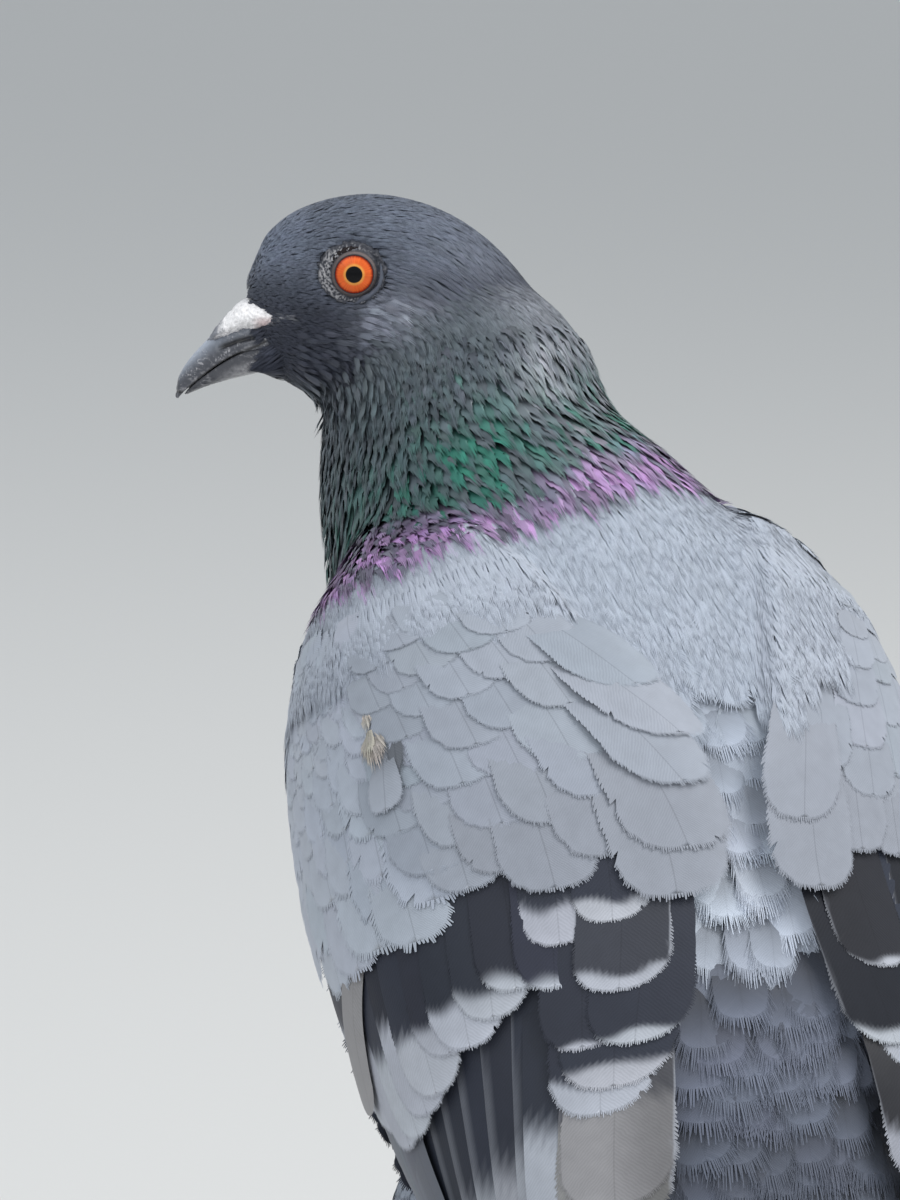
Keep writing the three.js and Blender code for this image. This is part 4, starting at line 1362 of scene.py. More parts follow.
def rump_roots(surface, cover):
    """Staggered rows of roots over the rump and the upper tail, between the wings."""
    roots, normals = [], []
    for row, s in enumerate(np.arange(RUMP_START, RUMP_END, RUMP_ROW)):
        reach = lookup(WING, [s + 12])[0, 0] + 7.0
        count = int(2 * reach / RUMP_PITCH) + 1
        centre, back, tailward = axis(s)
        across = (np.arange(count) - (count - 1) / 2 + (row % 2) * 0.5) * RUMP_PITCH
        for x in across + rng.normal(0, 0.9, count):
            start = centre + back * 70 + np.array([x, 0, 0]) + tailward * rng.normal(0, 0.9)
            place, _, face, _ = surface.tree.ray_cast(Vector(start), Vector(-back))
            if place is None:
                continue
            roots.append(place)
            normals.append(surface.normals[surface.tris[face]].mean(0))
    roots, normals = np.array(roots), unit(np.array(normals))
    way, station = flow(roots)
    free = ((cover.find(roots)[0] > 2.0) | (station > 93)) & (cover.find(roots + way * 9)[0] > 2.5)
    free &= (station > 55) | (np.abs(roots[:, 0] + 2) < 5.5)
    return roots[free], normals[free]


def body_coat(surface, cover):
    """The mantle, the rump, the sides, the breast and the belly."""
    def low(p):
        return collar(p) < 1.0

    def mantle(p):
        return (flow(p)[1] < MANTLE_END + 1.5 * np.sin(p[:, 0] * 1.7)) & (p[:, 2] > 165)

    def sized(small, large):
        return lambda p: np.where(on_thigh(p), small, large)

    def bedded(p, n):
        return cover.clear(p) & low(p) & (flow(p)[1] < MANTLE_END - 3) & (p[:, 2] > 165) & (n[:, 1] > -0.2)
    tract = Tract("mantle_feathers", "body_feathers", PLUMAGE_SOFT)
    spread_feathers(tract, surface, bedded, constant(2.3),
                    lambda p: np.interp(flow(p)[1], [0, 40], [9.0, 12.0]),
                    lambda p: np.interp(flow(p)[1], [0, 40], [2.2, 3.4]), MANTLE_FORMS, depth=1.0, rise=0.2,
                    base=0.96, tip=1.02, spread=0.012, curl=0.1, lift=-0.1)

    def downy(p, n):
        top = (collar(p) < 6.5) & (p[:, 2] > 158) & (n[:, 1] > -0.6)
        return top & ((cover.clear(p) & mantle(p)) | cover.soft(p) | (collar(p) > -10))

    def over_wing(p):
        gap, s, _ = cover.find(p)
        return 0.1 + 0.65 * smooth((s - 7) / 5) * smooth((6.0 - gap) / 4.5)
    spread_feathers(tract, surface, downy, constant(0.42), constant(7.0), constant(0.38), WISPS, depth=0.2,
                    rise=0.12, base=0.98, tip=1.03, spread=0.02, knots=3, lift=over_wing, mottle=0.03,
                    stretch=2.6)
    tract.build()
    tract = Tract("rump_feathers", "body_feathers", PLUMAGE_SOFT)
    roots, normals = rump_roots(surface, cover)
    pale = flow(roots)[1] < PALE_RUMP_END

    def under_mantle(p):
        return -0.35 - 0.6 * (1 - smooth((flow(p)[1] - RUMP_START) / 10))
    # The dark bases of the rump's feathers are painted shade under the row above.
    dress(tract, surface, roots[pale], normals[pale], constant(12.0), constant(4.1), RUMP_FORMS, depth=2.2,
          rise=1.1, base=0.55, tip=1.15, spread=0.06, bleach=0.06, curl=0.15, lift=under_mantle, knots=5,
          dim=0.35)
    dress(tract, surface, roots[~pale], normals[~pale], constant(13.5), constant(4.6), RUMP_FORMS,
          depth=2.2, rise=1.8, base=0.34, tip=1.2, spread=0.05, bleach=0.06, curl=0.3, knots=5, dim=0.42)

    def wall(p, n):
        facing_in = (np.abs(n[:, 0]) > 0.4) & (n[:, 2] > -0.5) & (np.abs(p[:, 0]) < 24)
        way, station = flow(p)
        clear = (cover.find(p)[0] > 3.4) & (cover.find(p + way * 7)[0] > 3.6)
        return facing_in & (station > 56) & (station < 112) & (n[:, 1] > -0.3) & clear
    spread_feathers(tract, surface, wall, constant(2.2), constant(8.0), constant(2.4), RUMP_FORMS,
                    depth=1.6, rise=0.4, base=0.5, tip=1.15, spread=0.05, curl=0.2, dim=0.3, lift=-0.4,
                    stretch=1.5)

    def back(p, n):
        between_wings = (np.abs(p[:, 0]) < 22) & (flow(p)[1] < 148) & (n[:, 2] > 0.2)
        return cover.clear(p, WING_ROOM) & low(p) & (n[:, 1] > 0.0) & ~mantle(p) & ~between_wings
    spread_feathers(tract, surface, back, sized(2.4, 3.3), sized(8.5, 12.0), sized(2.3, 3.6), BODY_FORMS,
                    depth=2.0, rise=0.8, base=0.6, tip=1.1, spread=0.05, bleach=0.08, curl=0.2, stretch=1.3)
    tract.build()
    tract = Tract("breast_feathers", "body_feathers", PLUMAGE_SOFT)

    def front(p, n):
        ends = p + flow(p)[0] * 10
        return cover.clear(p, WING_ROOM) & cover.clear(ends, 4.0) & low(p) & (n[:, 1] <= 0.0)
    spread_feathers(tract, surface, front, sized(2.4, 2.7), sized(8.5, 11.0), sized(2.3, 3.2), BODY_FORMS,
                    depth=1.8, rise=0.6, base=0.75, tip=1.08, spread=0.03, bleach=0.06, curl=0.1,
                    stretch=1.25)

    def wing_side(p, n):
        return cover.clear(p, 3.0) & ~cover.clear(p, 8.5) & low(p) & (p[:, 2] < 160) & (np.abs(p[:, 0]) > 24)
    spread_feathers(tract, surface, wing_side, constant(1.9), constant(6.5), constant(2.0), BODY_FORMS,
                    depth=1.2, rise=0.25, base=0.8, tip=1.05, spread=0.03, bleach=0.04, lift=-1.0,
                    stretch=1.25)
    tract.build()


def neck_coat(surface):
    """The glossy hackles of the neck."""
    tract = Tract("neck_hackles", "neck_feathers", HACKLE_GLOSS)

    def keep(p, n):
        below_face = (in_head(p)[1] < HACKLES_BELOW) | (flow(p)[1] > HACKLES_PAST)
        return (collar(p) >= HACKLES_OVER) & below_face

    def scaled(low, high):
        return lambda p: np.interp(collar(p), [0, 45], [low, high])
    spread_feathers(tract, surface, keep, scaled(0.86, 0.62), scaled(12.0, 7.0), scaled(1.15, 0.7), HACKLES,
                    depth=1.1, rise=0.85, base=0.68, tip=1.12, spread=0.15, knots=5, seen=1, lift=0.1,
                    mottle=0.1, stretch=3.0)
    tract.build()


def head_coat(surface):
    """Fine feathers over the head, longer ones below the jaw and on the ear, and bristles round the bill."""
    tract = Tract("head_feathers", "head_feathers", PLUMAGE_FINE)

    def near_face(p):
        return smooth((in_head(p)[0] + 14) / 24)

    def length(p):
        return 5.6 - 2.4 * near_face(p)

    def keep(p, n):
        f, up, _ = in_head(p)
        ends = p + flow(p)[0] * 0.75 * length(p)[:, None]
        leaving = eye_gap(ends) > eye_gap(p) + 0.35
        open_eye = ((eye_gap(p) > 0.95) | (leaving & (eye_gap(p) > 0.74))) & (eye_gap(ends) > 1.0)
        on_head = (collar(p) > HEAD_OVER) & (up >= HEAD_ABOVE) & (flow(p)[1] <= HEAD_BEFORE)
        return on_head & open_eye & (f < 17.3)
    spread_feathers(tract, surface, keep, lambda p: 0.34 - 0.06 * near_face(p), length,
                    lambda p: 0.28 - 0.07 * near_face(p), WISPS, depth=0.4, rise=0.22, base=0.84, tip=1.14,
                    spread=0.08, knots=3, mottle=0.16, stretch=2.1)

    def jaw(p, n):
        f, up, _ = in_head(p)
        return keep(p, n) & (up < -10) & (up > -22) & (f < 11)
    spread_feathers(tract, surface, jaw, constant(0.85), constant(7.0), constant(0.5), BEARD, depth=0.8,
                    rise=0.8, base=0.75, tip=1.15, spread=0.1, knots=4, mottle=0.1, stretch=2.4)

    def ruff(p, n):
        f, up, _ = in_head(p)
        return keep(p, n) & (up < -13) & (f > -5) & (f < 9)
    spread_feathers(tract, surface, ruff, constant(2.2), constant(7.5), constant(0.6), BEARD, depth=0.6,
                    rise=2.3, base=0.8, tip=1.15, spread=0.1, knots=4, stretch=1.5)

    def ear(p, n):
        f, up, _ = in_head(p)
        return keep(p, n) & (((f + 8) / 8)**2 + ((up + 8) / 5.5)**2 < 1)
    spread_feathers(tract, surface, ear, constant(0.75), constant(7.0), constant(0.5), EAR_TUFTS, depth=0.5,
                    rise=0.75, base=0.6, tip=1.35, spread=0.1, knots=3, mottle=0.1, lift=0.15, stretch=2.6)
    bristles(tract, surface)
    tract.build()


def bristles(tract, surface):
    """Short feathers that reach forward from the face over the base of the bill and of the cere."""
    def edge(p, n):
        f, up, out = in_head(p)
        first = 13.6 - 3.2 * smooth((-11 - up) / 3)
        return (f > first) & (f < 17.5) & (up > -18.5) & (up < -9.5) & (np.abs(out) > 1.5 * (up > -14))
    roots, normals = surface.scatter(TRIES, edge, constant(0.3), 1.6)
    chin = smooth((-11 - in_head(roots)[1]) / 4)
    reach, half = rng.uniform(1.2, 2.6, len(roots)) + 1.9 * chin, np.full(len(roots), 0.22)

    def ahead(points):
        _, up, _ = in_head(points)
        fall = 0.25 + 0.5 * smooth((-4 - up) / 8) - 1.15 * smooth((-13 - up) / 5.5)
        return np.broadcast_to(FORWARD, points.shape) - CROWN_WAY * fall[:, None]
    line = [roots + normals * 0.05]
    for step in (0.5, 1.0):
        line.append(roots + unit(ahead(roots)) * (reach * step)[:, None] + normals * 0.25)
    shaft = np.stack(line, 1)
    bed = BodyBed(shaft, np.repeat(normals[:, None], 3, 1), half)
    _, station = flow(roots)
    colour = markings_and_sheen(roots, station, rng.normal(0, 1.6, len(roots)))
    colour = colour * rng.uniform(0.85, 1.3, (len(roots), 1))
    tract.add(WISPS[0], bed, half, 0.2, 0.1, shaded(colour, 0.85, 1.1), body_chart(roots), roll=0.1)


TAIL_COUNT, TAIL_KNOTS = 12, 14
TAIL_ROOT, TAIL_LENGTH = 150.0, 108.0


def tail_feathers():
    """Twelve tail feathers, the middle pair on top: grey, a dark end band, and white along the outermost."""
    tract = Tract("tail_quills", "flight_feathers", QUILL_GLOSS)
    middle = (TAIL_COUNT - 1) / 2
    for k in range(TAIL_COUNT):
        place = (k - middle) / middle
        rank = abs(place)
        s = np.linspace(TAIL_ROOT, TAIL_ROOT + TAIL_LENGTH - 3 * rank, TAIL_KNOTS)
        half, thick, droop = lookup(TAIL, s).T
        centre, back, _ = axis(s)
        shaft = centre + back * (thick * (1 - 1.4 * rank) - droop * place**2)[:, None]
        shaft[:, 0] += place * (half - 4.5)
        normal = back.copy()
        normal[:, 0] += 0.12 * place
        dark, grey = vary(BAR * 1.05, 1, 0.04), vary(TAIL_GREY, 1, 0.04)

        def paint(along, across):
            station = TAIL_ROOT + TAIL_LENGTH * along[None]
            share = smooth((station - 226) / 5) - 0.35 * smooth((station - 253) / 3)
            colour = blend(grey[:, None], dark[:, None], share)
            white = (rank > 0.95) * smooth((across[None] * np.sign(place) - 0.25) / 0.2)
            white = white * smooth((235 - station) / 12)
            return blend(colour, BAR_TIP[None, None] * 1.1, white)
        tract.add(QUILL_FORMS[k % 2], BodyBed(shaft[None], unit(normal)[None]), 8.6, 0.2, 0.0, paint,
                  np.array([[0.06 + 0.08 * k, 0.5]]), camber=0.4, roll=0.0, patch=(0.06, 0.9))
    tract.build("tail")


# ---------------- eyes
def eye_middle(side):
    return head_point(-EYE_BACK, 0, side * EYE_OUT)


def disc(centre, outward, radii, heights, turns):
    """Rings round an axis, from a middle point out: vertices, triangles, and each vertex's ring and
    angle."""
    outward = unit(outward)
    ahead = unit(FORWARD - outward * (FORWARD @ outward))
    up = np.cross(outward, ahead)
    up = up * np.sign(up[2])
    angle = np.arange(turns) * 2 * math.pi / turns
    verts = [centre + outward * heights[0]]
    ring, turn = [0], [0.0]
    for k, (r, h) in enumerate(zip(radii[1:], heights[1:])):
        verts += list(centre + outward * h
                      + r * (np.cos(angle)[:, None] * ahead + np.sin(angle)[:, None] * up))
        ring += [k + 1] * turns
        turn += list(angle)
    faces = [(0, 1 + j, 1 + (j + 1) % turns) for j in range(turns)]
    for k in range(len(radii) - 2):
        a, b = 1 + k * turns, 1 + (k + 1) * turns
        for j in range(turns):
            m = (j + 1) % turns
            faces += [(a + j, b + j, b + m), (a + j, b + m, a + m)]
    return np.array(verts), np.array(faces), np.array(ring), np.array(turn)


PUPIL_R, IRIS_R = 1.34, 3.05
# How far the iris lies under the ball's own curve, and how far round the ball its mesh goes.
IRIS_SINK = 0.28
BALL_REACH = math.radians(120)


def eyeball(side, word):
    """A wet ball whose iris is orange, yellow by the pupil and deep red at its rim."""
    half = np.concatenate([[0], np.linspace(0.01, 1.0, 120)]) * BALL_REACH
    radii, heights = EYE_R * np.sin(half), EYE_R * np.cos(half)
    flat = np.clip(radii / IRIS_R, 0, 1)
    heights = np.where(half < 1.2, heights - IRIS_SINK * (1 - flat**2), heights)
    verts, faces, ring, turn = disc(eye_middle(side), LEFT * side, radii, heights, 96)
    r = radii[ring]
    fibre = np.sin(turn * 34 + 3 * np.sin(turn * 5)) * 0.5 + np.sin(turn * 57 + 1.0) * 0.5
    yellow = np.array([0.8, 0.34, 0.07])
    orange = np.array([0.78, 0.135, 0.028])
    red = np.array([0.36, 0.03, 0.012])
    colour = blend(yellow, orange, smooth((r - 1.42) / 0.5))
    colour = blend(colour, red, smooth((r - 2.5 - 0.08 * fibre) / 0.5))
    colour = colour * (1 + 0.1 * fibre * smooth((r - 1.5) / 0.5))[:, None]
    colour = blend(colour, np.array([0.004, 0.004, 0.005]), 1 - smooth((r - PUPIL_R + 0.05) / 0.1))
    colour = blend(colour, np.array([0.012, 0.008, 0.008]), smooth((r - IRIS_R) / 0.15))
    if side < 0:
        faces = faces[:, ::-1]
    eye = new_mesh(f"eyeball_{word}", verts, faces, colour)
    eye.data.materials.append(EYE_WET)
    finish_piece(eye, "eye", f"eye_{word}")


def eye_ring(side, word):
    """The dark rim of the lids and the bare, whitish, grainy skin round them."""
    turns = 150
    radii = np.concatenate([[0], np.linspace(3.02, 3.55, 9), np.linspace(3.65, 6.5, 28)])
    verts, faces, ring, turn = disc(eye_middle(side), LEFT * side, radii, np.zeros(len(radii)), turns)
    faces = faces[turns:]
    r = radii[ring]
    f, up, _ = in_head(verts)
    outer = CHEEK_OUT[side](f, up) - EYE_OUT
    ball = np.sqrt(np.maximum(EYE_R**2 - np.minimum(r, EYE_R)**2, 0.0)) + 0.1
    rest = smooth((r - 3.35) / 1.6)
    height = ball * (1 - rest) + outer * rest + 0.22 * np.exp(-((r - 3.3) / 0.22)**2)
    gap = eye_gap(verts + LEFT * side * 8) + 0.09 * grain(verts, 0.7, 4.0)
    bare = 1 - smooth((gap - 0.88) / 0.22)
    sunk = smooth((gap - 1.0) / 0.14)
    height = height - 1.3 * sunk
    grains = grain(verts, 0.34) + 0.6 * grain(verts, 0.17, 5.0)
    dry = smooth((r - 3.6) / 0.5) * bare
    height = height + dry * (0.05 + 0.16 * grains) + 0.04 * grains
    place = verts + LEFT * side * height[:, None]
    front = 0.5 + 0.5 * np.cos(turn + 0.1)
    white = smooth((grains - 0.12 + 0.3 * front) / 0.45) * dry * (0.3 + 0.6 * front)
    dark = np.array([0.028, 0.026, 0.03])
    lid = smooth((r - 3.12) / 0.14) * (1 - smooth((r - 3.5) / 0.2)) * 0.75
    rim = blend(dark, np.array([0.15, 0.12, 0.115]), lid)
    colour = blend(rim, np.array([0.034, 0.037, 0.048]), smooth((r - 3.55) / 0.3))
    colour = blend(colour, np.array([0.5, 0.49, 0.5]), 0.8 * white)
    if side < 0:
        faces = faces[:, ::-1]
    keep = np.unique(faces)
    index = np.zeros(len(place), int)
    index[keep] = np.arange(len(keep))
    made = new_mesh(f"eye_ring_{word}", place[keep], index[faces], colour[keep])
    made.data.materials.append(BARE_SKIN)
    finish_piece(made, "leg_skin")


# ---------------- bill, cere and feet
def loft(name, table, rings, turns, round_end=0.5, flat=0):
    """A smooth closed body along the head's forward axis, from a table of top, bottom, half width.

    Its sections are ovals, or with flat at 1 a dome on a flat base and at -1 a keel under a flat top.
    """
    table = np.array(table, float)
    share = np.linspace(0, 1, rings)
    f = table[0, 0] + (table[-1, 0] - table[0, 0]) * (1 - (1 - share)**1.3)
    top, bottom, half = lookup(table, f).T[..., None]
    closing = np.sqrt(np.clip((f - f[0]) / round_end, 0, 1) * np.clip((f[-1] - f) / round_end, 0, 1))
    closing = closing[:, None]
    angle = (np.arange(turns) * 2 * math.pi / turns)[None]
    across = np.cos(angle) * half * closing
    lift = np.sin(angle)
    if flat:
        lift = np.where(lift * flat > 0, 2 * lift - flat, -flat + 0.12 * lift)
    rise = (top + bottom) / 2 + lift * (top - bottom) / 2 * closing
    verts = HEAD_AT + f[:, None, None] * FORWARD + rise[..., None] * CROWN_WAY + across[..., None] * LEFT
    ring, turn = np.meshgrid(np.arange(rings - 1), np.arange(turns), indexing="ij")
    a, b = ring * turns + turn, ring * turns + (turn + 1) % turns
    faces = np.stack([a, b, b + turns, a + turns], -1).reshape(-1, 4)
    return new_mesh(name, verts.reshape(-1, 3), faces)


BILL_UPPER = [
    [10, -7, -10.4, 5.2], [14, -6, -12.3, 4.9], [18.5, -7.4, -13.6, 4.1], [22.3, -10.6, -15.9, 3.1],
    [26, -14.4, -18.9, 2.1], [28, -17.4, -20.7, 1.3], [28.7, -19.6, -21.9, 0.6],
]
BILL_LOWER = [
    [10.5, -9.6, -14.6, 5], [13, -11.4, -16.2, 4.7], [16, -12.6, -17.2, 4.2], [19, -13.9, -17.9, 3.5],
    [22.5, -16.2, -18.9, 2.6], [25.5, -18.5, -20, 1.7], [27.2, -20.2, -20.8, 0.9],
]
CERE = [
    [11.0, -6.6, -8.8, 4.4], [12.6, -5.7, -9.4, 6.1], [15.0, -4.9, -10.0, 6.0], [17.6, -5.2, -10.3, 5.3],
    [19.8, -7.2, -11.0, 4.3], [21.8, -9.4, -11.7, 3.1], [23.4, -11.2, -12.5, 1.6],
]
SLIT = [[12, -9.7], [15.6, -10.75], [18.5, -11.55], [21.6, -12.75]]
GAPE = [[9, -9.0], [15.4, -12.3], [19, -13.9], [22, -15.7], [24.8, -17.8], [27.2, -20.1]]


def horn_marks(thing, seed, slit):
    """Dust, scratches and flakes, a painted highlight down the ridge, and painted shade in slit and gape."""
    verts, normals = vertices_of(thing.data), normals_of(thing.data)
    f, up, out = in_head(verts)
    streak = np.stack([f * 0.35, up, out], -1)
    flakes = grain(streak, 0.55, seed) + 0.8 * grain(verts, 0.5, seed) + 0.5 * grain(verts, 0.22, seed + 3)
    line = lookup(SLIT, f)[:, 0]
    cut = np.exp(-((up - line) / 0.36)**2) * smooth((f - 11.5) / 0.8) * smooth((22 - f) / 1.5) * slit
    lip = np.exp(-((up - lookup(GAPE, f)[:, 0]) / 0.28)**2)
    set_vertices(thing.data, verts + normals * (0.045 * flakes - 0.6 * cut - 0.15 * lip)[:, None])
    ridge = smooth((normals @ CROWN_WAY - 0.15) / 0.55)
    horn = np.array([0.066, 0.069, 0.083])
    dust = np.array([0.56, 0.55, 0.57])
    ridge_highlight = np.array([0.46, 0.51, 0.6])
    # A painted highlight on the upper horn, where it faces up.
    colour = blend(horn, ridge_highlight, 0.85 * ridge * slit)
    scratch = np.abs(grain(np.stack([f * 0.5 + up * 0.9, up * 2.2 - f * 0.8, out], -1), 1.1, seed + 7))
    patchy = smooth(grain(verts, 2.4, seed + 11) * 1.6 + 0.55 + 0.5 * smooth((18 - f) / 6))
    worn = smooth((flakes - 0.65) / 0.7) * (0.2 + 0.5 * smooth((20 - f) / 7))
    worn = np.maximum(worn, 0.85 * smooth((0.12 - scratch) / 0.1) * smooth(flakes + 0.4)) * patchy
    under = smooth((-(normals @ CROWN_WAY) - 0.25) / 0.4) * smooth((23 - f) / 5) * (1 - slit)
    worn = np.maximum(worn, under * (0.45 + 0.3 * flakes))
    colour = blend(colour, dust, np.clip(worn, 0, 1))
    edge = np.exp(-((up - lookup(GAPE, f)[:, 0] - 0.5) / 0.2)**2)
    colour = blend(colour, dust, 0.35 * edge * smooth(flakes + 0.4))
    # The slit under the cere and the gape are painted near black: painted shade in these creases.
    tint(thing.data, blend(colour, np.array([0.008, 0.008, 0.009]), np.clip(cut + lip, 0, 1)))
    thing.data.materials.append(HORN)


def bill():
    """Worn and dusty horn, and a chalky two-lobed cere over the slits of the nostrils."""
    upper = loft("bill_upper_horn", BILL_UPPER, rings=190, turns=180, flat=1)
    horn_marks(upper, 1.0, 1.0)
    finish_piece(upper, "horn", "bill_upper")
    lower = loft("bill_lower_horn", BILL_LOWER, rings=190, turns=180, flat=-1)
    horn_marks(lower, 4.0, 0.0)
    finish_piece(lower, "horn", "bill_lower")
    wax = loft("cere_wax", CERE, rings=120, turns=110, round_end=1.2)
    verts, normals = vertices_of(wax.data), normals_of(wax.data)
    f, up, out = in_head(verts)
    crackle = grain(verts, 0.9, 2.0) + 0.7 * grain(verts, 0.4, 9.0) + 0.4 * grain(verts, 0.2, 6.0)
    seam = np.exp(-(out / 0.5)**2) * smooth((normals @ CROWN_WAY - 0.2) / 0.5)
    set_vertices(wax.data, verts + normals * (0.24 * crackle - 0.5 * seam)[:, None])
    chalk = np.array([0.97, 0.95, 0.95])
    pink = np.array([0.78, 0.58, 0.56])
    grime = np.array([0.34, 0.3, 0.3])
    colour = blend(chalk, pink, smooth((16.5 - f) / 2.5) * smooth((-6.8 - up) / 1.5) * 0.75)
    colour = blend(colour, np.array([0.16, 0.17, 0.2]), smooth((f - 20.4 + crackle) / 1.6) * 0.9)
    colour = blend(colour, grime, smooth((-crackle - 0.35) / 0.6) * 0.6)
    tint(wax.data, colour)
    wax.data.materials.append(CHALK)
    finish_piece(wax, "cere", "cere")


TOE_HEADINGS = {"inner": -28, "middle": 4, "outer": 38, "hind": 172}
FOOT_AT = np.array([22.0, -23.7, 6.5])
FOOT_VOXEL, CLAW_VOXEL = 0.5, 0.28
SCUTE_PITCH, SCUTE_RELIEF = 1.45, 0.16


def foot(side, word):
    """Shank and toes with rows of scutes, and their claws."""
    nodes = [f"shank_{word}", *(f"toe_{toe}_{word}" for toe in TOE_HEADINGS)]
    made = remeshed(f"foot_{word}", nodes, FOOT_VOXEL, grow=0.22)
    verts, normals = vertices_of(made.data), normals_of(made.data)
    start = FOOT_AT * [side, 1, 1]
    flat = verts - start
    along = np.hypot(flat[:, 0], flat[:, 1])
    shank = smooth((verts[:, 2] - 7) / 3)
    run = np.where(shank > 0.5, verts[:, 2], along)
    saw = (run / SCUTE_PITCH) % 1.0
    ridge = np.where(normals[:, 2] > -0.2, 1.0, 0.25) * (0.5 - np.abs(saw - 0.5)) * 2
    grains = grain(verts, 0.7)
    moved = verts + normals * (SCUTE_RELIEF * (ridge - 0.6) + 0.05 * grains)[:, None]
    moved[:, 2] = np.maximum(moved[:, 2], 0.0)
    set_vertices(made.data, moved)
    red = np.array([0.42, 0.085, 0.08])
    groove = np.array([0.2, 0.045, 0.05])
    pale = np.array([0.5, 0.2, 0.18])
    colour = blend(groove, red, smooth(ridge * 1.6))
    colour = blend(colour, pale, smooth((grains - 0.1) / 0.5) * 0.4)
    tint(made.data, colour)
    made.data.materials.append(SCUTES)
    finish_piece(made, "leg_skin", *nodes)
    claws = [f"claw_{toe}_{word}" for toe in TOE_HEADINGS]
    made = remeshed(f"claws_{word}", claws, CLAW_VOXEL, grow=0.0, rounds=2)
    verts = vertices_of(made.data)
    verts[:, 2] = np.maximum(verts[:, 2], 0.0)
    set_vertices(made.data, verts)
    black = np.array([0.03, 0.029, 0.032])
    worn = np.array([0.1, 0.095, 0.095])
    tint(made.data, blend(black, worn, smooth(grain(verts, 1.5) + 0.4)))
    made.data.materials.append(HORN)
    finish_piece(made, "horn", *claws)


# ---------------- camera, floor and light
CAMERA_AT = np.array([303.58, 549.65, 317.63])
CAMERA_AZIMUTH, CAMERA_TILT, CAMERA_ROLL, CAMERA_FOV = 155.0, 10.0, 2.5, 15.6
FLOOR_SIZE = 40000.0
LIGHT_TARGET = (0.0, -0.02, 0.18)
KEY_POWER, FILL_POWER, SKY_STRENGTH = 23.0, 7.0, 0.66


def camera():
    """Looks at the bird from behind and to its left, a little from above."""
    turn, tilt, roll = (math.radians(v) for v in (CAMERA_AZIMUTH, CAMERA_TILT, CAMERA_ROLL))
    ahead = -np.array([math.sin(turn) * math.cos(tilt), -math.cos(turn) * math.cos(tilt), math.sin(tilt)])
    right = unit(np.cross(ahead, [0.0, 0.0, 1.0]))
    up = np.cross(right, ahead)
    right, up = math.cos(roll) * right + math.sin(roll) * up, math.cos(roll) * up - math.sin(roll) * right
    data = bpy.data.cameras.new("camera")
    data.sensor_fit = "AUTO"
    data.sensor_width = 36.0
    data.lens = data.sensor_width / 2 / math.tan(math.radians(CAMERA_FOV) / 2)
    data.clip_start, data.clip_end = 0.01, 100.0
    made = bpy.data.objects.new("camera", data)
    bpy.context.scene.collection.objects.link(made)
    matrix = Matrix([[*row] for row in np.stack([right, up, -ahead], 1)]).to_4x4()
    matrix.translation = Vector(CAMERA_AT * MM)
    made.matrix_world = matrix
    bpy.context.scene.camera = made


def floor():
    """A wide, plain floor."""
    steps = 20
    line = np.linspace(-FLOOR_SIZE / 2, FLOOR_SIZE / 2, steps + 1)
    x, y = np.meshgrid(line, line, indexing="ij")
    verts = np.stack([x.ravel(), y.ravel(), np.zeros(x.size)], -1)
    i, j = np.meshgrid(np.arange(steps), np.arange(steps), indexing="ij")
    a = (i * (steps + 1) + j).ravel()
    faces = np.stack([a, a + steps + 1, a + steps + 2, a + 1], -1)
    made = new_mesh("floor", verts, faces)
    n = Nodes("floor_paint")
    fine = n.noise(300.0, 4.0)
    n.shader.inputs["Base Color"].default_value = (0.62, 0.62, 0.61, 1)
    n.rough(fine, 0.7, 0.85)
    n.bump(fine, 0.08, 0.2)
    made.data.materials.append(n.material)


def area_light(name, place, target, size, power, colour):
    data = bpy.data.lights.new(name, "AREA")
    data.shape = "DISK"
    data.size = size
    data.energy = power
    data.color = colour
    made = bpy.data.objects.new(name, data)
    bpy.context.scene.collection.objects.link(made)
    place, target = Vector(place), Vector(target)
    turn = (target - place).to_track_quat("-Z", "Y").to_matrix().to_4x4()
    made.matrix_world = Matrix.Translation(place) @ turn


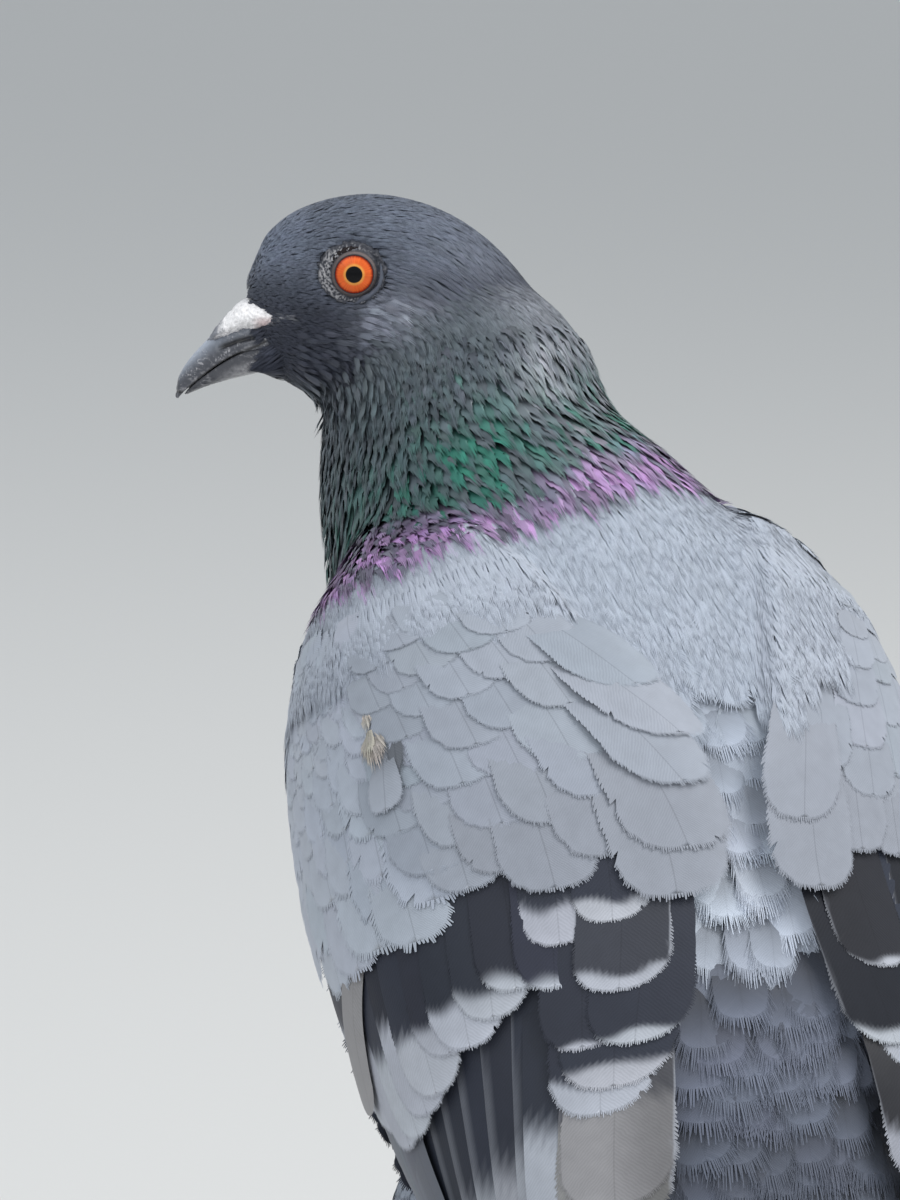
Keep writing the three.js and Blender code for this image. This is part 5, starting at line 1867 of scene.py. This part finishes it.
def light():
    """A pale sky, a soft key light from above and behind on the right, and a weak fill from the left."""
    world = bpy.data.worlds.new("studio")
    world.use_nodes = True
    background = world.node_tree.nodes["Background"]
    background.inputs["Color"].default_value = (0.9, 0.95, 1.0, 1)
    background.inputs["Strength"].default_value = SKY_STRENGTH
    bpy.context.scene.world = world
    area_light("key", (-0.65, 0.54, 1.56), LIGHT_TARGET, 1.1, KEY_POWER, (1.0, 0.985, 0.965))
    area_light("fill", (1.1, 0.6, 1.2), LIGHT_TARGET, 1.4, FILL_POWER, (0.95, 0.97, 1.0))
    bpy.context.scene.view_settings.view_transform = "Standard"
    bpy.context.scene.view_settings.look = "None"


# ---------------- the whole bird
PLUMAGE = plumage("vane_pale", rough=(0.55, 0.75), strength=0.32, shaft=0.8)
PLUMAGE_SOFT = plumage("vane_soft", rough=(0.6, 0.85), strength=0.3, sheen=0.2, shaft=0.92)
PLUMAGE_FINE = plumage("wisp_fine", rough=(0.5, 0.8), strength=0.2, sheen=0.1, shaft=1.0)
HACKLE_GLOSS = plumage("hackle_gloss", rough=(0.34, 0.55), strength=0.3, sheen=0.0, metallic=0.3,
                       specular=0.5, shaft=1.0)
QUILL_GLOSS = plumage("quill_gloss", rough=(0.45, 0.62), strength=0.22, barb=0.6, sheen=0.0, specular=0.22,
                      shaft=0.85)
BARE_SKIN = skin_material("bare_skin", rough=(0.6, 0.9), scale=2600.0)
HORN = skin_material("horn", rough=(0.22, 0.5), scale=1600.0, strength=0.35, coat=0.4)
CHALK = skin_material("chalk", rough=(0.8, 0.95), scale=2200.0, strength=0.5)
SCUTES = skin_material("scutes", rough=(0.45, 0.65), scale=1500.0, strength=0.3)
EYE_WET = skin_material("eye_wet", rough=(0.08, 0.14), scale=900.0, strength=0.02, coat=0.12, specular=0.1)

camera()
floor()
light()
skin, skin_verts, skin_normals, skin_tris, skin_tree = outline()
SURFACE = Surface(skin_verts, skin_normals, skin_tris, skin_tree)
COVER = WingCover()
body_coat(SURFACE, COVER)
neck_coat(SURFACE)
head_coat(SURFACE)
tail_feathers()
for SIDE, WORD in ((1, "left"), (-1, "right")):
    build_wing(SURFACE, SIDE, WORD)
    eyeball(SIDE, WORD)
    eye_ring(SIDE, WORD)
    foot(SIDE, WORD)
bill()
draw_in(skin, skin_verts, skin_normals)
